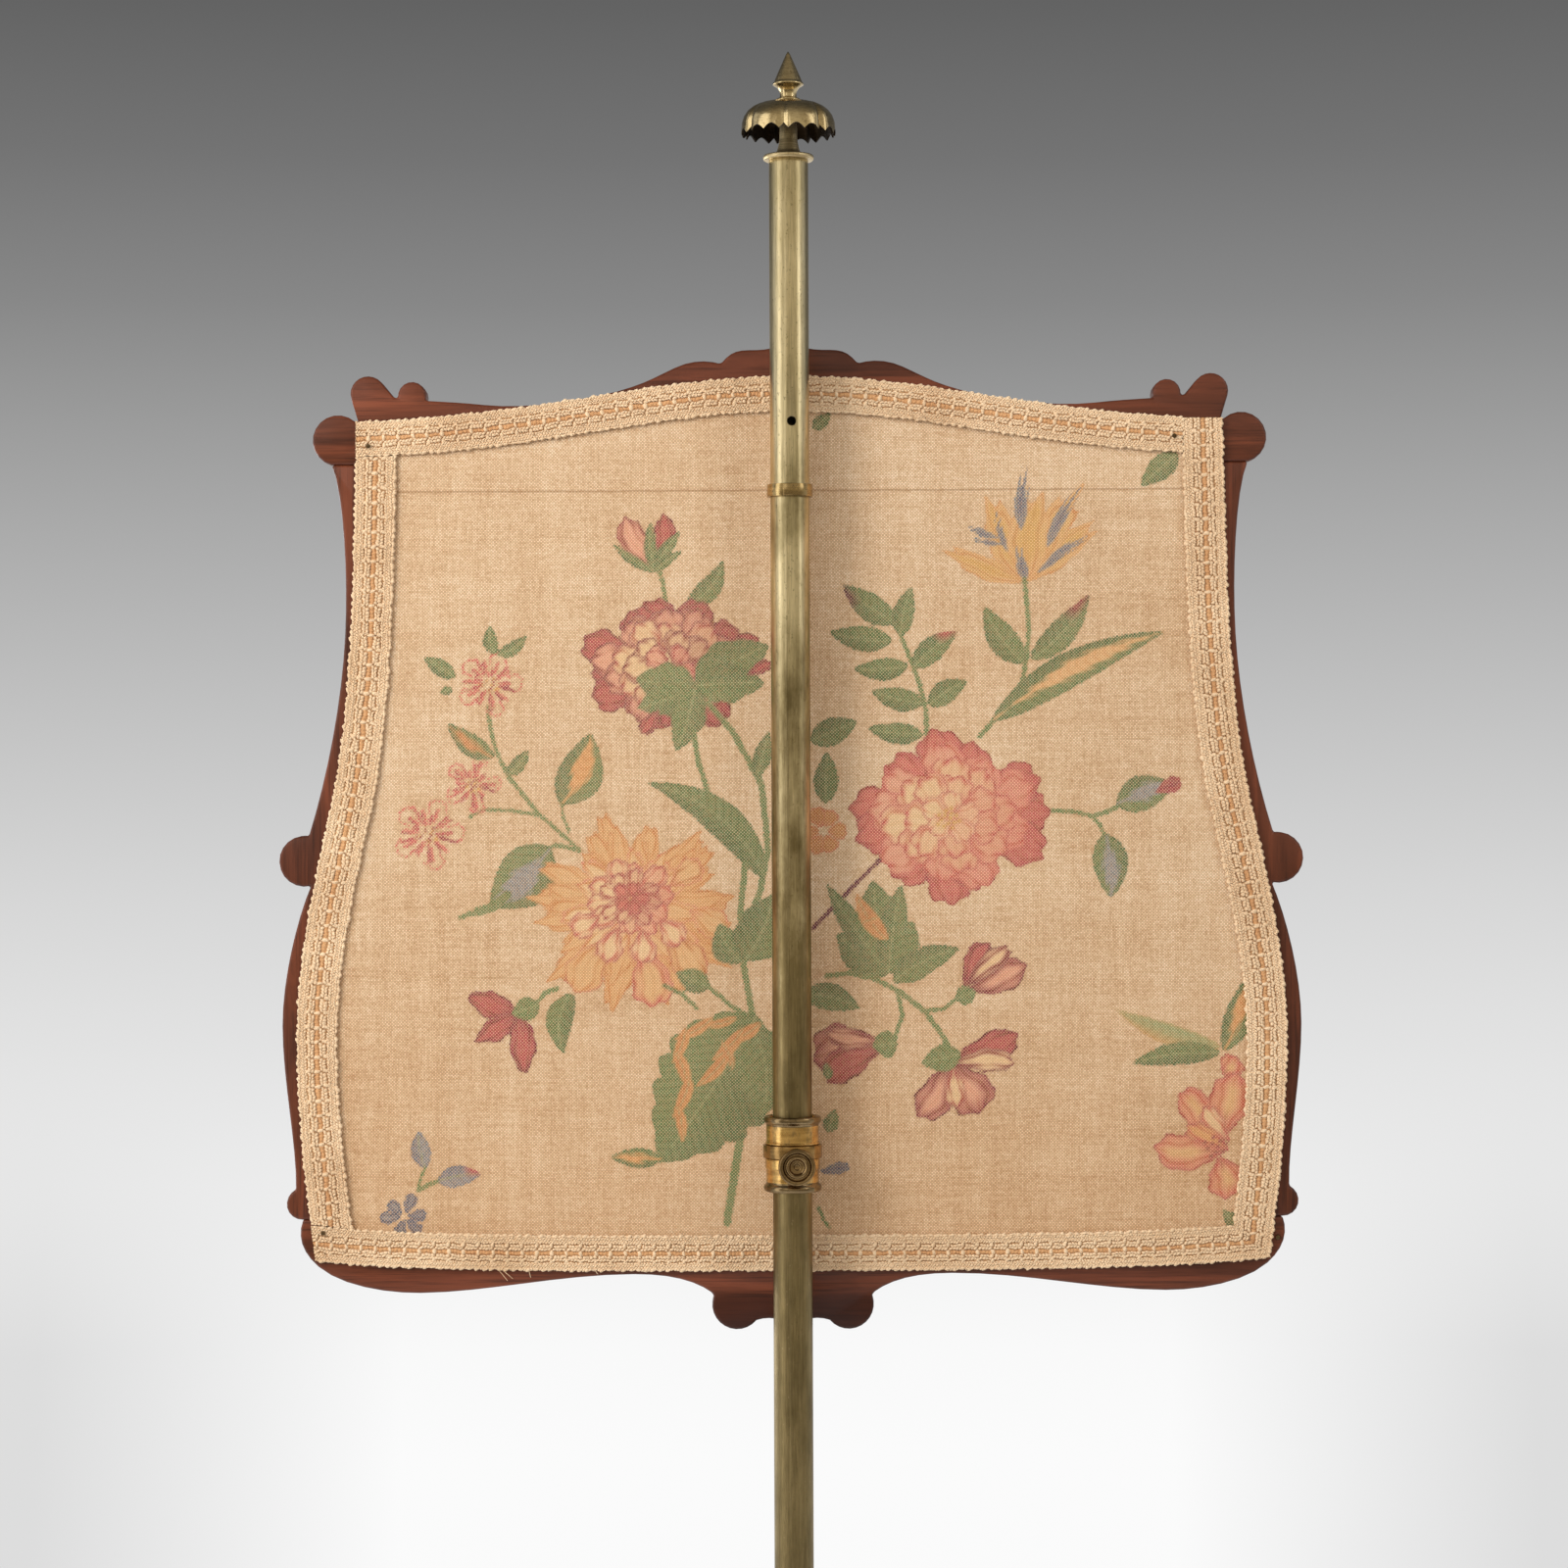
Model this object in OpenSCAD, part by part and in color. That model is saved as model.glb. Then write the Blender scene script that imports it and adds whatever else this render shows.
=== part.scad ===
// Pole screen: a shaped wooden fire screen that slides and swivels on a brass pole.
// Millimetres, +Z up. The origin is on the floor under the pole's axis.
// The cloth-backed side of the screen faces -Y, and its needlework side faces +Y.

/* [Stand] */
// Height of the top of the turned column above the floor
column_top = 400; // [370:1:440]
// Height of the underside of the column's leg block
block_bottom = 105; // [95:1:115]
// Radius of the leg block
block_r = 34; // [32:0.5:38]
// Distance from the pole's axis to each flat that a leg is set against
block_flat = 31; // [29:0.5:31.5]
// Radius from the pole's axis to the middle of each foot
leg_reach = 205; // [190:1:230]
// Height of the middle of a leg where it meets the column
leg_root_z = 140; // [137:1:144]
// Half the depth of a leg at its root
leg_root_half = 32; // [28:1:33]
// Half the depth of a leg at its ankle
leg_ankle_half = 11; // [9:0.5:13]
// Half the thickness of a leg at its root
leg_half_w = 13; // [11:0.5:15]
// Radius of the rolled toe of a leg
toe_r = 15; // [13:0.5:17]
// Height of a turned foot
foot_h = 12; // [9:0.5:16]
// Largest radius of a turned foot
foot_r = 17; // [14:0.5:20]
// Thickness of the iron plate under the legs
plate_t = 3; // [2:0.5:4]
// Length of the turned drop under the plate
drop_len = 46; // [36:1:56]

/* [Pole] */
// Outside radius of the brass pole
pole_r = 9.5; // [8.5:0.1:10.5]
// Wall of the pole's tube
pole_wall = 1; // [0.7:0.1:1.5]
// Length of the pole
pole_len = 1053; // [1000:1:1100]
// Depth of the pole's end in the column
pole_seat = 65; // [50:1:75]
// Radius of the peg hole in the pole
peg_hole_r = 2.2; // [1.5:0.1:3]
// Distance from the pole's top down to the peg hole
peg_hole_drop = 127; // [100:1:140]
// Height of the brass socket on the column
socket_h = 25; // [18:1:32]
// Wall of the brass socket
socket_wall = 3; // [2:0.5:5]

/* [Finial] */
// Radius of the flange that caps the pole
flange_r = 12.3; // [11:0.1:14]
// Thickness of the flange
flange_t = 3; // [2:0.1:4]
// Radius of the stem between flange and crown
stem_r = 4; // [3.4:0.1:4.8]
// Height of the crown's top above the pole
crown_top = 28.6; // [26:0.1:32]
// Radius of the scalloped crown
crown_r = 22.9; // [20:0.1:26]
// Depth of the crown from its top to its rim
crown_h = 16.6; // [14:0.1:18]
// Wall of the crown
crown_wall = 0.9; // [0.7:0.1:1.2]
// Number of lobes pressed into the crown
crown_lobes = 7; // [4:1:8]
// Turn of the crown on its stem
crown_turn = 7; // [-36:1:36]
// Radius of the spire at its rim
spire_r = 7.5; // [6.5:0.1:9]
// Height of the spire
spire_h = 24.4; // [20:0.1:30]

/* [Collar] */
// Distance from the pole's top down to the collar's lower rim, where the screen is clamped
collar_drop = 499; // [488:1:560]
// Height of the collar
collar_h = 36.3; // [35.5:0.1:40]
// Radius of the collar's plain body
collar_r = 12.7; // [12.4:0.1:13.2]
// How far the collar's rims stand out from its body
rim_out = 1.2; // [0.8:0.1:1.5]
// Wall of the collar
collar_wall = 1; // [0.8:0.1:1.3]
// Running clearance between the pole and what slides on it
slide_gap = 0.1; // [0.06:0.01:0.2]
// Height of the thumbscrew's axis above the collar's lower rim
screw_rise = 13.5; // [12.5:0.1:13.8]
// Angle of the thumbscrew round the pole, towards the right
screw_turn = 6; // [0:1:20]
// Radius of the thumbscrew's head
knob_r = 9; // [7:0.1:10]
// Thickness of the thumbscrew's head
knob_t = 5.5; // [4.5:0.1:7]
// Radius of the thumbscrew's shank
shank_r = 2; // [1.6:0.1:2.2]
// Height of the strap that swivels on the collar
strap_h = 6.2; // [5:0.1:6.5]
// Thickness of that strap
strap_t = 1.5; // [1.2:0.1:1.7]

/* [Guide ring] */
// Height of the guide ring's middle above the collar's lower rim
ring_rise = 339; // [325:1:345]
// Height of the guide ring's band
ring_h = 6; // [5:0.1:8]
// Thickness of the guide ring's band
ring_t = 1.3; // [1:0.1:1.7]

/* [Screen] */
// Height of the screen's middle above the collar's lower rim
screen_rise = 197; // [190:1:204]
// Distance from the pole's axis to the cloth's outer face
cloth_y = 20; // [19:0.1:26]
// Thickness of the wooden frame
frame_t = 15; // [14:0.5:18]
// Half width of the screen at its waist
waist_half = 218.2; // [212:0.1:224]
// Half width of the screen at its hips
hip_half = 250.2; // [244:0.1:256]
// Height of the crest above the screen's middle
crest_z = 215.2; // [211:0.1:220]
// Depth of the belly of the bottom rail below the screen's middle
belly_z = 249.2; // [246:0.1:253]
// Radius of the ear at each upper corner's side
ear_side_r = 12.5; // [11:0.1:13.5]
// Radius of the ear at each upper corner's top
ear_top_r = 8.65; // [8:0.05:9.5]
// Radius of the small ear beside it
ear_small_r = 6.9; // [6:0.1:7.5]
// Radius of the lobe halfway down each side
side_lobe_r = 12.5; // [11:0.1:13.5]
// Radius of the lobe above each lower corner
foot_lobe_r = 7.7; // [7:0.1:8.4]
// Radius of the two lobes under the bottom rail
tab_lobe_r = 12.3; // [11:0.1:13]
// Width of the frame that the cloth covers
frame_cover = 19; // [18:0.5:22]
// Width of the rebate that holds the panel
rebate_w = 5; // [4:0.5:7]
// Thickness of the lip in front of the panel
lip_t = 4; // [3:0.5:5]
// Thickness of the panel board
board_t = 3; // [2:0.5:4]
// Thickness of the needlework
needle_t = 1; // [0.6:0.1:1.4]
// Width of the batten that carries the fittings
batten_w = 34; // [28:1:44]
// How far the batten's ends are let into the rails
batten_end = 10; // [8:0.5:12]
// Width of the bead round the needlework
bead_w = 5; // [4:0.5:7]
// How far the bead stands out of the frame's front
bead_out = 3; // [2:0.5:4]
// Radius of the dowels in the frame's corner joints
dowel_r = 3; // [2.5:0.1:3.5]
// Length of those dowels
dowel_len = 24; // [18:1:28]

/* [Cloth and braid] */
// Thickness of the backing cloth
cloth_t = 0.8; // [0.5:0.1:1.2]
// Gap between the cloth's edge and the braid's outer edge
cloth_tuck = 2; // [1:0.5:4]
// Thickness of the braid
braid_t = 2.6; // [2:0.1:3.2]
// Width of the braid down the sides
braid_side_w = 20; // [17:0.5:22]
// Width of the braid along the top and bottom
braid_level_w = 17.5; // [15:0.5:20]

/* [Hidden] */
$fn = 64;

brass = [0.62, 0.55, 0.36];
gilt_brass = [0.72, 0.55, 0.25];
iron = [0.2, 0.19, 0.18];
mahogany = [0.34, 0.17, 0.1];
pine = [0.72, 0.58, 0.4];
linen = [0.84, 0.68, 0.47];
braid_cream = [0.87, 0.74, 0.53];
hide = [0.4, 0.26, 0.16];

// Small clearance between pieces that are glued, pressed or screwed together
seat_gap = 0.05;
// A cut starts this far outside the face that it goes through
cut_past = 1;

// A cubic curve from a to d, without its last point
function curve(a, b, c, d, steps = 10) =
    [for (i = [0 : steps - 1])
        let (t = i / steps, u = 1 - t)
        u * u * u * a + 3 * u * u * t * b + 3 * u * t * t * c + t * t * t * d];
// A list of points in the opposite order
function backwards(points) = [for (i = [len(points) - 1 : -1 : 0]) points[i]];
// A list of points mirrored across the pole's axis, in the opposite order
function across(points) = [for (p = backwards(points)) [-p.x, p.y]];
function unit(v) = v / norm(v);
// The direction square to a line, on its right-hand side
function right_of(v) = unit([v.y, -v.x]);
// An open line moved to its right-hand side by d
function beside(points, d) =
    let (last = len(points) - 1)
    [for (i = [0 : last])
        points[i] + d * right_of(points[min(i + 1, last)] - points[max(i - 1, 0)])];

// A strip of the given width on the right-hand side of an open line
module strip(points, width) {
    polygon(concat(points, backwards(beside(points, width))));
}
// A flat shape in the screen's own x and z, from y0 through a depth towards +Y
module slab(y0, depth) {
    translate([0, y0 + depth, screen_z]) rotate([90, 0, 0])
        linear_extrude(height = depth) children();
}
// A solid whose sides pass through a list of rings of points
module loft(rings) {
    sides = len(rings[0]);
    last = len(rings) - 1;
    points = [for (ring = rings, p = ring) p];
    walls = [for (r = [0 : last - 1], s = [0 : sides - 1], half = [0, 1])
        let (
            a = r * sides + s,
            b = r * sides + (s + 1) % sides,
            c = (r + 1) * sides + s,
            d = (r + 1) * sides + (s + 1) % sides)
        half == 0 ? [a, c, b] : [b, c, d]];
    ends = [for (s = [1 : sides - 2], end = [0, 1])
        end == 0 ? [0, s, s + 1] : [last * sides, last * sides + s + 1, last * sides + s]];
    polyhedron(points, concat(walls, ends));
}
// A slotted screw with its head's underside at the origin and its shank towards -Z
module slotted_screw(head_r, head_h, r, len) {
    slot_w = head_r * 0.3;
    slot_d = head_h * 0.45;
    difference() {
        cylinder(r = head_r, h = head_h);
        translate([-head_r - cut_past, -slot_w / 2, head_h - slot_d])
            cube([2 * (head_r + cut_past), slot_w, slot_d + cut_past]);
    }
    translate([0, 0, -len]) cylinder(r = r, h = len + head_h / 4);
}
// Turns a shape that points along +Z so that it points along -Y, out of the screen's back
module out_of_back() rotate([90, 0, 0]) children();

// Places that follow from the sizes above
pole_bottom = column_top - pole_seat;
pole_top = pole_bottom + pole_len;
collar_z = pole_top - collar_drop;
screen_z = collar_z + screen_rise;
ring_z = collar_z + ring_rise;
frame_y = cloth_y + cloth_t;
front_y = frame_y + frame_t;
batten_t = frame_t - lip_t - needle_t - board_t;
bore_r = pole_r + slide_gap;

// The stand

block_top = block_bottom + 80;
tenon_w = 12;
tenon_depth = 11;
tenon_half_h = 24;
leg_angles = [-90, 30, 150];
socket_flange_r = pole_r + socket_wall + 7;
socket_flange_t = 3;
socket_screw_r = 1.2;
socket_screw_ring = pole_r + socket_wall + 3.4;
drop_dowel_r = 5;
drop_dowel_len = 22;
plate_arm_w = 14;
plate_arm_len = 58;
plate_screw_r = 1.8;
plate_screw_len = 11;
plate_screw_ring = 50;
heel_w = 20;
heel_end = 64;

// The turned outline of the column, from its top to the leg block
column_neck_r = pole_r + 6;
column_profile = concat(
    [[pole_r + seat_gap, column_top]],
    [[socket_flange_r + 1, column_top]],
    curve([socket_flange_r + 3, column_top - 4], [socket_flange_r + 5, column_top - 12],
        [socket_flange_r + 2, column_top - 20], [column_neck_r + 2, column_top - 24]),
    curve([column_neck_r, column_top - 28], [column_neck_r - 1, column_top - 42],
        [column_neck_r, column_top - 50], [column_neck_r + 6, column_top - 54]),
    [[column_neck_r + 8, column_top - 56], [column_neck_r + 8, column_top - 62]],
    curve([column_neck_r + 3, column_top - 65], [column_neck_r + 2, column_top - 90],
        [block_r + 6, column_top - 110], [block_r + 6, column_top - 140]),
    curve([block_r + 6, column_top - 140], [block_r + 6, block_top + 40],
        [block_r - 14, block_top + 36], [block_r - 14, block_top + 22]),
    curve([block_r - 14, block_top + 22], [block_r - 14, block_top + 14],
        [block_r - 4, block_top + 12], [block_r, block_top + 11]),
    curve([block_r + 4, block_top + 10], [block_r + 8, block_top + 8],
        [block_r + 8, block_top + 2], [block_r + 4, block_top]),
    [[block_r, block_top], [block_r, block_bottom], [0, block_bottom], [0, pole_bottom],
        [pole_r + seat_gap, pole_bottom]]);

module tenon(gap) {
    translate([block_flat - tenon_depth - gap, -tenon_w / 2 - gap, leg_root_z - tenon_half_h - gap])
        cube([tenon_depth + gap + cut_past, tenon_w + 2 * gap, 2 * (tenon_half_h + gap)]);
}
module column() {
    color(mahogany) difference() {
        rotate_extrude() polygon(column_profile);
        for (a = leg_angles) rotate([0, 0, a]) {
            translate([block_flat, -block_r, block_bottom - cut_past])
                cube([block_r, 2 * block_r, block_top - block_bottom + cut_past]);
            tenon(seat_gap);
        }
        translate([0, 0, block_bottom - cut_past])
            cylinder(r = drop_dowel_r + seat_gap, h = drop_dowel_len + cut_past);
        socket_screw_places() cylinder(r = socket_screw_r, h = 30, center = true);
    }
}

// The middle line of a leg as radius and height, and its half depth and half width along it
toe_z = foot_h + toe_r - 2;
knee = [leg_reach - 72, leg_root_z - 42];
knee_run = [20, -36];
leg_line = concat(
    curve([block_flat, leg_root_z], [block_flat + 46, leg_root_z + 14],
        knee - knee_run, knee, 12),
    curve(knee, knee + knee_run, [leg_reach - 36, toe_z + 1], [leg_reach, toe_z], 12),
    [[leg_reach, toe_z]]);
leg_sides = 16;
function leg_ring(i) =
    let (
        last = len(leg_line) - 1,
        p = leg_line[i],
        run = i == 0 || i == last ? [1, 0] : unit(leg_line[i + 1] - leg_line[i - 1]),
        t = i / last,
        deep = leg_ankle_half + (leg_root_half - leg_ankle_half) * pow(1 - t, 1.4),
        wide = leg_half_w - 3.5 * sin(90 * t))
    [for (s = [0 : leg_sides - 1])
        let (
            a = 360 * s / leg_sides,
            across_leg = wide * sign(cos(a)) * pow(abs(cos(a)), 0.55),
            along_depth = deep * sign(sin(a)) * pow(abs(sin(a)), 0.55))
        [p.x - run.y * along_depth, across_leg, p.y + run.x * along_depth]];
module leg(angle) {
    color(mahogany) rotate([0, 0, angle]) difference() {
        union() {
            loft([for (i = [0 : len(leg_line) - 1]) leg_ring(i)]);
            tenon(0);
            translate([block_flat, -heel_w / 2, block_bottom])
                cube([heel_end - block_flat, heel_w, leg_root_z - block_bottom]);
            translate([leg_reach, 0, toe_z]) rotate([90, 0, 0])
                cylinder(r = toe_r, h = 2 * leg_half_w - 2, center = true);
        }
        translate([leg_reach - foot_r - toe_r, -2 * leg_half_w, foot_h - toe_r])
            cube([2 * (foot_r + toe_r), 4 * leg_half_w, toe_r]);
        translate([plate_screw_ring, 0, block_bottom - cut_past])
            cylinder(r = plate_screw_r, h = plate_screw_len + cut_past);
    }
}
module foot(angle) {
    color(mahogany) rotate([0, 0, angle]) translate([leg_reach, 0, 0])
        rotate_extrude() polygon(concat(
            [[0, 0]],
            curve([foot_r - 4, 0], [foot_r, 1], [foot_r + 1, foot_h - 5], [foot_r - 3, foot_h - 3]),
            [[foot_r - 5, foot_h - 2], [foot_r - 5, foot_h], [0, foot_h]]));
}
module leg_plate() {
    color(iron) translate([0, 0, block_bottom - plate_t]) difference() {
        linear_extrude(height = plate_t) union() {
            circle(r = block_flat - 6);
            for (a = leg_angles) rotate(a) {
                translate([0, -plate_arm_w / 2]) square([plate_arm_len - plate_arm_w / 2, plate_arm_w]);
                translate([plate_arm_len - plate_arm_w / 2, 0]) circle(r = plate_arm_w / 2);
            }
        }
        translate([0, 0, -cut_past]) cylinder(r = drop_dowel_r + seat_gap, h = plate_t + 2 * cut_past);
        for (a = leg_angles) rotate([0, 0, a]) translate([plate_screw_ring, 0, -cut_past])
            cylinder(r = plate_screw_r, h = plate_t + 2 * cut_past);
    }
}
module plate_screws() {
    color(iron) for (a = leg_angles) rotate([0, 0, a])
        translate([plate_screw_ring, 0, block_bottom - plate_t]) rotate([180, 0, 0])
            slotted_screw(3.6, 2, plate_screw_r, plate_t + plate_screw_len);
}
module drop_finial() {
    top = block_bottom - plate_t;
    color(mahogany) rotate_extrude() polygon(concat(
        [[0, top + plate_t + drop_dowel_len - seat_gap],
            [drop_dowel_r, top + plate_t + drop_dowel_len - seat_gap], [drop_dowel_r, top], [22, top]],
        curve([24, top - 2], [25, top - 8], [14, top - 10], [11, top - 14]),
        curve([11, top - 14], [10, top - 18], [20, top - 20], [20, top - drop_len * 0.6]),
        curve([20, top - drop_len * 0.6], [20, top - drop_len + 6], [8, top - drop_len + 4],
            [5, top - drop_len + 2]),
        [[3, top - drop_len], [0, top - drop_len]]));
}
module socket_screw_places() {
    for (a = [0 : 120 : 240]) rotate([0, 0, a + 30])
        translate([socket_screw_ring, 0, column_top + socket_flange_t]) children();
}
module pole_socket() {
    outer = pole_r + socket_wall;
    color(brass) difference() {
        translate([0, 0, column_top]) rotate_extrude() polygon(concat(
            [[pole_r + seat_gap, 0], [socket_flange_r, 0], [socket_flange_r, socket_flange_t - 1]],
            [[socket_flange_r - 1, socket_flange_t], [outer, socket_flange_t]],
            [[outer, socket_h - 7]],
            curve([outer, socket_h - 6], [outer + 2.4, socket_h - 5], [outer + 2.4, socket_h - 2],
                [outer, socket_h - 1], 8),
            [[outer - 0.5, socket_h], [pole_r + seat_gap, socket_h]]));
        socket_screw_places() cylinder(r = socket_screw_r, h = 30, center = true);
    }
}
module socket_screws() {
    color(brass) socket_screw_places() slotted_screw(2, 1, socket_screw_r, socket_flange_t + 8);
}

// The pole and its finial

module pole() {
    color(brass) difference() {
        translate([0, 0, pole_bottom]) cylinder(r = pole_r, h = pole_len);
        translate([0, 0, pole_bottom - cut_past])
            cylinder(r = pole_r - pole_wall, h = pole_len + 2 * cut_past);
        rotate([0, 0, screw_turn]) translate([0, 0, pole_top - peg_hole_drop])
            rotate([90, 0, 0]) cylinder(r = peg_hole_r, h = pole_r + cut_past);
    }
}

stud_r = stem_r - 1;
stud_h = 9;
plug_len = 22;
crown_seat_r = stem_r + 1.7;
spire_base = pole_top + crown_top;
module finial_stem() {
    shoulder = crown_top - crown_wall - seat_gap;
    color(brass) translate([0, 0, pole_top]) rotate_extrude() polygon(concat(
        [[0, -plug_len], [pole_r - pole_wall - seat_gap, -plug_len], [pole_r - pole_wall - seat_gap, 0]],
        curve([flange_r - 0.6, 0], [flange_r + 0.2, 0.3], [flange_r + 0.2, flange_t - 0.6],
            [flange_r - 0.8, flange_t - 0.3], 6),
        curve([stem_r + 3, flange_t], [stem_r + 1.3, flange_t + 0.5], [stem_r + 0.9, flange_t + 4],
            [stem_r, flange_t + 9], 8),
        [[stem_r, shoulder], [stud_r, shoulder], [stud_r, crown_top + stud_h], [0, crown_top + stud_h]]));
}

// The crown's wall at a turn a round it and a share of the way from its top down to its scalloped rim
crown_steps = 18 * crown_lobes;
crown_rings = 7;
crease_depth = 0.07;
crease_width = 4;
scallop_h = 2.6;
nick_share = 1 / 9;
function crown_point(a, share, inside) =
    let (
        part = 360 / crown_lobes,
        off = abs(((a % part) + part) % part - part / 2) - part / 2,
        crease = exp(-pow(off / crease_width, 2)) * min(1, 2 * share),
        near = -off / part,
        notch = scallop_h * max(0, near < nick_share ? 1 - near / nick_share
            : sin(180 * (near - nick_share) / (0.5 - nick_share))),
        slope = share * acos(pow(notch / crown_h, 3 / 2)),
        r = crown_r * pow(sin(slope), 2 / 3) * (1 - crease_depth * crease) - inside * crown_wall * sin(slope),
        z = crown_h * (pow(cos(slope), 2 / 3) - 1) - inside * crown_wall * cos(slope))
    [r * cos(a), r * sin(a), z];
module finial_crown() {
    start = 0.09;
    shares = [for (i = [0 : crown_rings]) start + (1 - start) * i / crown_rings];
    walls = concat(
        [for (share = backwards(shares))
            [for (s = [0 : crown_steps - 1]) crown_point(360 * s / crown_steps, share, 0)]],
        [for (share = shares)
            [for (s = [0 : crown_steps - 1]) crown_point(360 * s / crown_steps, share, 1)]]);
    count = len(walls);
    color(brass) translate([0, 0, pole_top + crown_top]) rotate([0, 0, crown_turn]) union() {
        polyhedron(
            [for (ring = walls, p = ring) p],
            [for (r = [0 : count - 1], s = [0 : crown_steps - 1], half = [0, 1])
                let (
                    a = r * crown_steps + s,
                    b = r * crown_steps + (s + 1) % crown_steps,
                    c = ((r + 1) % count) * crown_steps + s,
                    d = ((r + 1) % count) * crown_steps + (s + 1) % crown_steps)
                half == 0 ? [a, c, b] : [b, c, d]]);
        translate([0, 0, -crown_wall]) difference() {
            cylinder(r = crown_seat_r + 1, h = crown_wall);
            translate([0, 0, -cut_past]) cylinder(r = stud_r + seat_gap, h = crown_wall + 2 * cut_past);
        }
    }
}
module finial_spire() {
    rim = spire_h * 0.33;
    color(brass) translate([0, 0, spire_base]) difference() {
        rotate_extrude() polygon(concat(
            [[0, 0]],
            curve([crown_seat_r - 0.4, 0], [crown_seat_r + 0.4, 0.2], [crown_seat_r + 0.4, 1.3],
                [crown_seat_r - 0.6, 1.5], 6),
            curve([stem_r + 0.2, 1.7], [stem_r - 0.3, 3.5], [stem_r, rim - 2.4],
                [spire_r - 1.2, rim - 0.6], 8),
            curve([spire_r, rim], [spire_r + 0.1, rim + 0.6], [spire_r - 0.3, rim + 1],
                [spire_r - 0.7, rim + 1.4], 4),
            curve([spire_r - 0.7, rim + 1.4], [spire_r - 2, rim + 5], [1.6, spire_h - 3],
                [0.5, spire_h - 0.3], 8),
            [[0, spire_h]]));
        translate([0, 0, -cut_past]) cylinder(r = stud_r + seat_gap, h = stud_h + 2 * cut_past);
    }
}

// The collar that is clamped to the pole

strap_low = screw_rise + shank_r + 0.8;
strap_high = strap_low + strap_h;
rim_h = 4;
shell_bore_r = collar_r - collar_wall;
liner_end = 5;
strap_in_r = collar_r + slide_gap;
strap_out_r = strap_in_r + strap_t;
module collar_shell() {
    rim_r = collar_r + rim_out;
    color(gilt_brass) translate([0, 0, collar_z]) difference() {
        rotate_extrude() polygon(concat(
            [[shell_bore_r, 0.6], [collar_r, 0]],
            curve([rim_r - 0.6, 0], [rim_r + 0.5, 0.6], [rim_r + 0.5, rim_h - 1],
                [rim_r - 0.8, rim_h - 0.6], 8),
            curve([collar_r + 0.3, rim_h - 0.4], [collar_r, rim_h], [collar_r, rim_h + 1],
                [collar_r, rim_h + 2], 4),
            [[collar_r, screw_rise - 2.8], [collar_r + 0.5, screw_rise - 2.4],
                [collar_r + 0.5, strap_low - 0.5], [collar_r, strap_low - 0.2],
                [collar_r, strap_high + 0.2], [collar_r + 0.5, strap_high + 0.4],
                [collar_r + 0.5, strap_high + 1.2], [collar_r, strap_high + 1.5]],
            curve([collar_r, collar_h - rim_h - 2], [collar_r, collar_h - rim_h - 1],
                [collar_r, collar_h - rim_h], [collar_r + 0.3, collar_h - rim_h + 0.4], 4),
            curve([rim_r - 0.8, collar_h - rim_h + 0.6], [rim_r + 0.3, collar_h - rim_h + 1],
                [rim_r + 0.3, collar_h - 0.8], [rim_r - 0.6, collar_h], 8),
            [[collar_r, collar_h], [shell_bore_r, collar_h - 0.6]]));
        screw_place() translate([0, 0, pole_r]) cylinder(r = shank_r + seat_gap, h = collar_r);
    }
}
// The thumbscrew's axis, pointing out of the collar from the pole's axis
module screw_place() {
    rotate([0, 0, screw_turn]) translate([0, 0, screw_rise]) rotate([90, 0, 0]) children();
}
module collar_liner() {
    color(hide) translate([0, 0, collar_z]) difference() {
        translate([0, 0, liner_end]) cylinder(r = shell_bore_r - seat_gap, h = collar_h - 2 * liner_end);
        cylinder(r = bore_r, h = collar_h);
        screw_place() cylinder(r = shank_r + 0.4, h = collar_r);
    }
}
shoe_t = 1;
module clamp_shoe() {
    color(brass) translate([0, 0, collar_z]) screw_place() translate([0, 0, pole_r + slide_gap])
        cylinder(r = shank_r, h = shoe_t);
}
module thumbscrew() {
    tip = pole_r + slide_gap + shoe_t;
    neck = collar_r + rim_out + 2.6;
    color(brass) translate([0, 0, collar_z]) screw_place() rotate_extrude() polygon(concat(
        [[0, tip], [shank_r, tip], [shank_r, neck - 1.5], [shank_r + 1.4, neck - 1.2], [shank_r + 1.4, neck]],
        curve([knob_r - 1.4, neck], [knob_r, neck + 0.4], [knob_r, neck + 1.6],
            [knob_r - 0.7, neck + 2.2], 6),
        curve([knob_r - 0.7, neck + 2.2], [knob_r + 0.3, neck + 3], [knob_r + 0.3, neck + knob_t],
            [knob_r - 1.2, neck + knob_t], 8),
        [[knob_r * 0.78, neck + knob_t - 0.2], [knob_r * 0.7, neck + knob_t - 1.5],
            [knob_r * 0.62, neck + knob_t - 1.5]],
        curve([knob_r * 0.6, neck + knob_t - 0.6], [knob_r * 0.56, neck + knob_t],
            [knob_r * 0.48, neck + knob_t], [knob_r * 0.44, neck + knob_t - 0.5], 5),
        [[knob_r * 0.34, neck + knob_t - 1.6], [knob_r * 0.2, neck + knob_t - 1.6],
            [knob_r * 0.12, neck + knob_t - 2.3], [0, neck + knob_t - 2.4]]));
}

// The fittings that join the screen to the collar and the pole

bracket_w = 12;
bracket_h = 36;
bracket_t = 1.5;
bracket_screw_r = 1.4;
bracket_screw_len = 5.5;
bracket_screw_rise = 13;
bracket_y = cloth_y - bracket_t;
strap_z = collar_z + strap_low;
module bracket_screw_places() {
    for (z = [strap_z + strap_h / 2, ring_z], side = [-1, 1])
        translate([0, bracket_y, z + side * bracket_screw_rise]) out_of_back() children();
}
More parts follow.
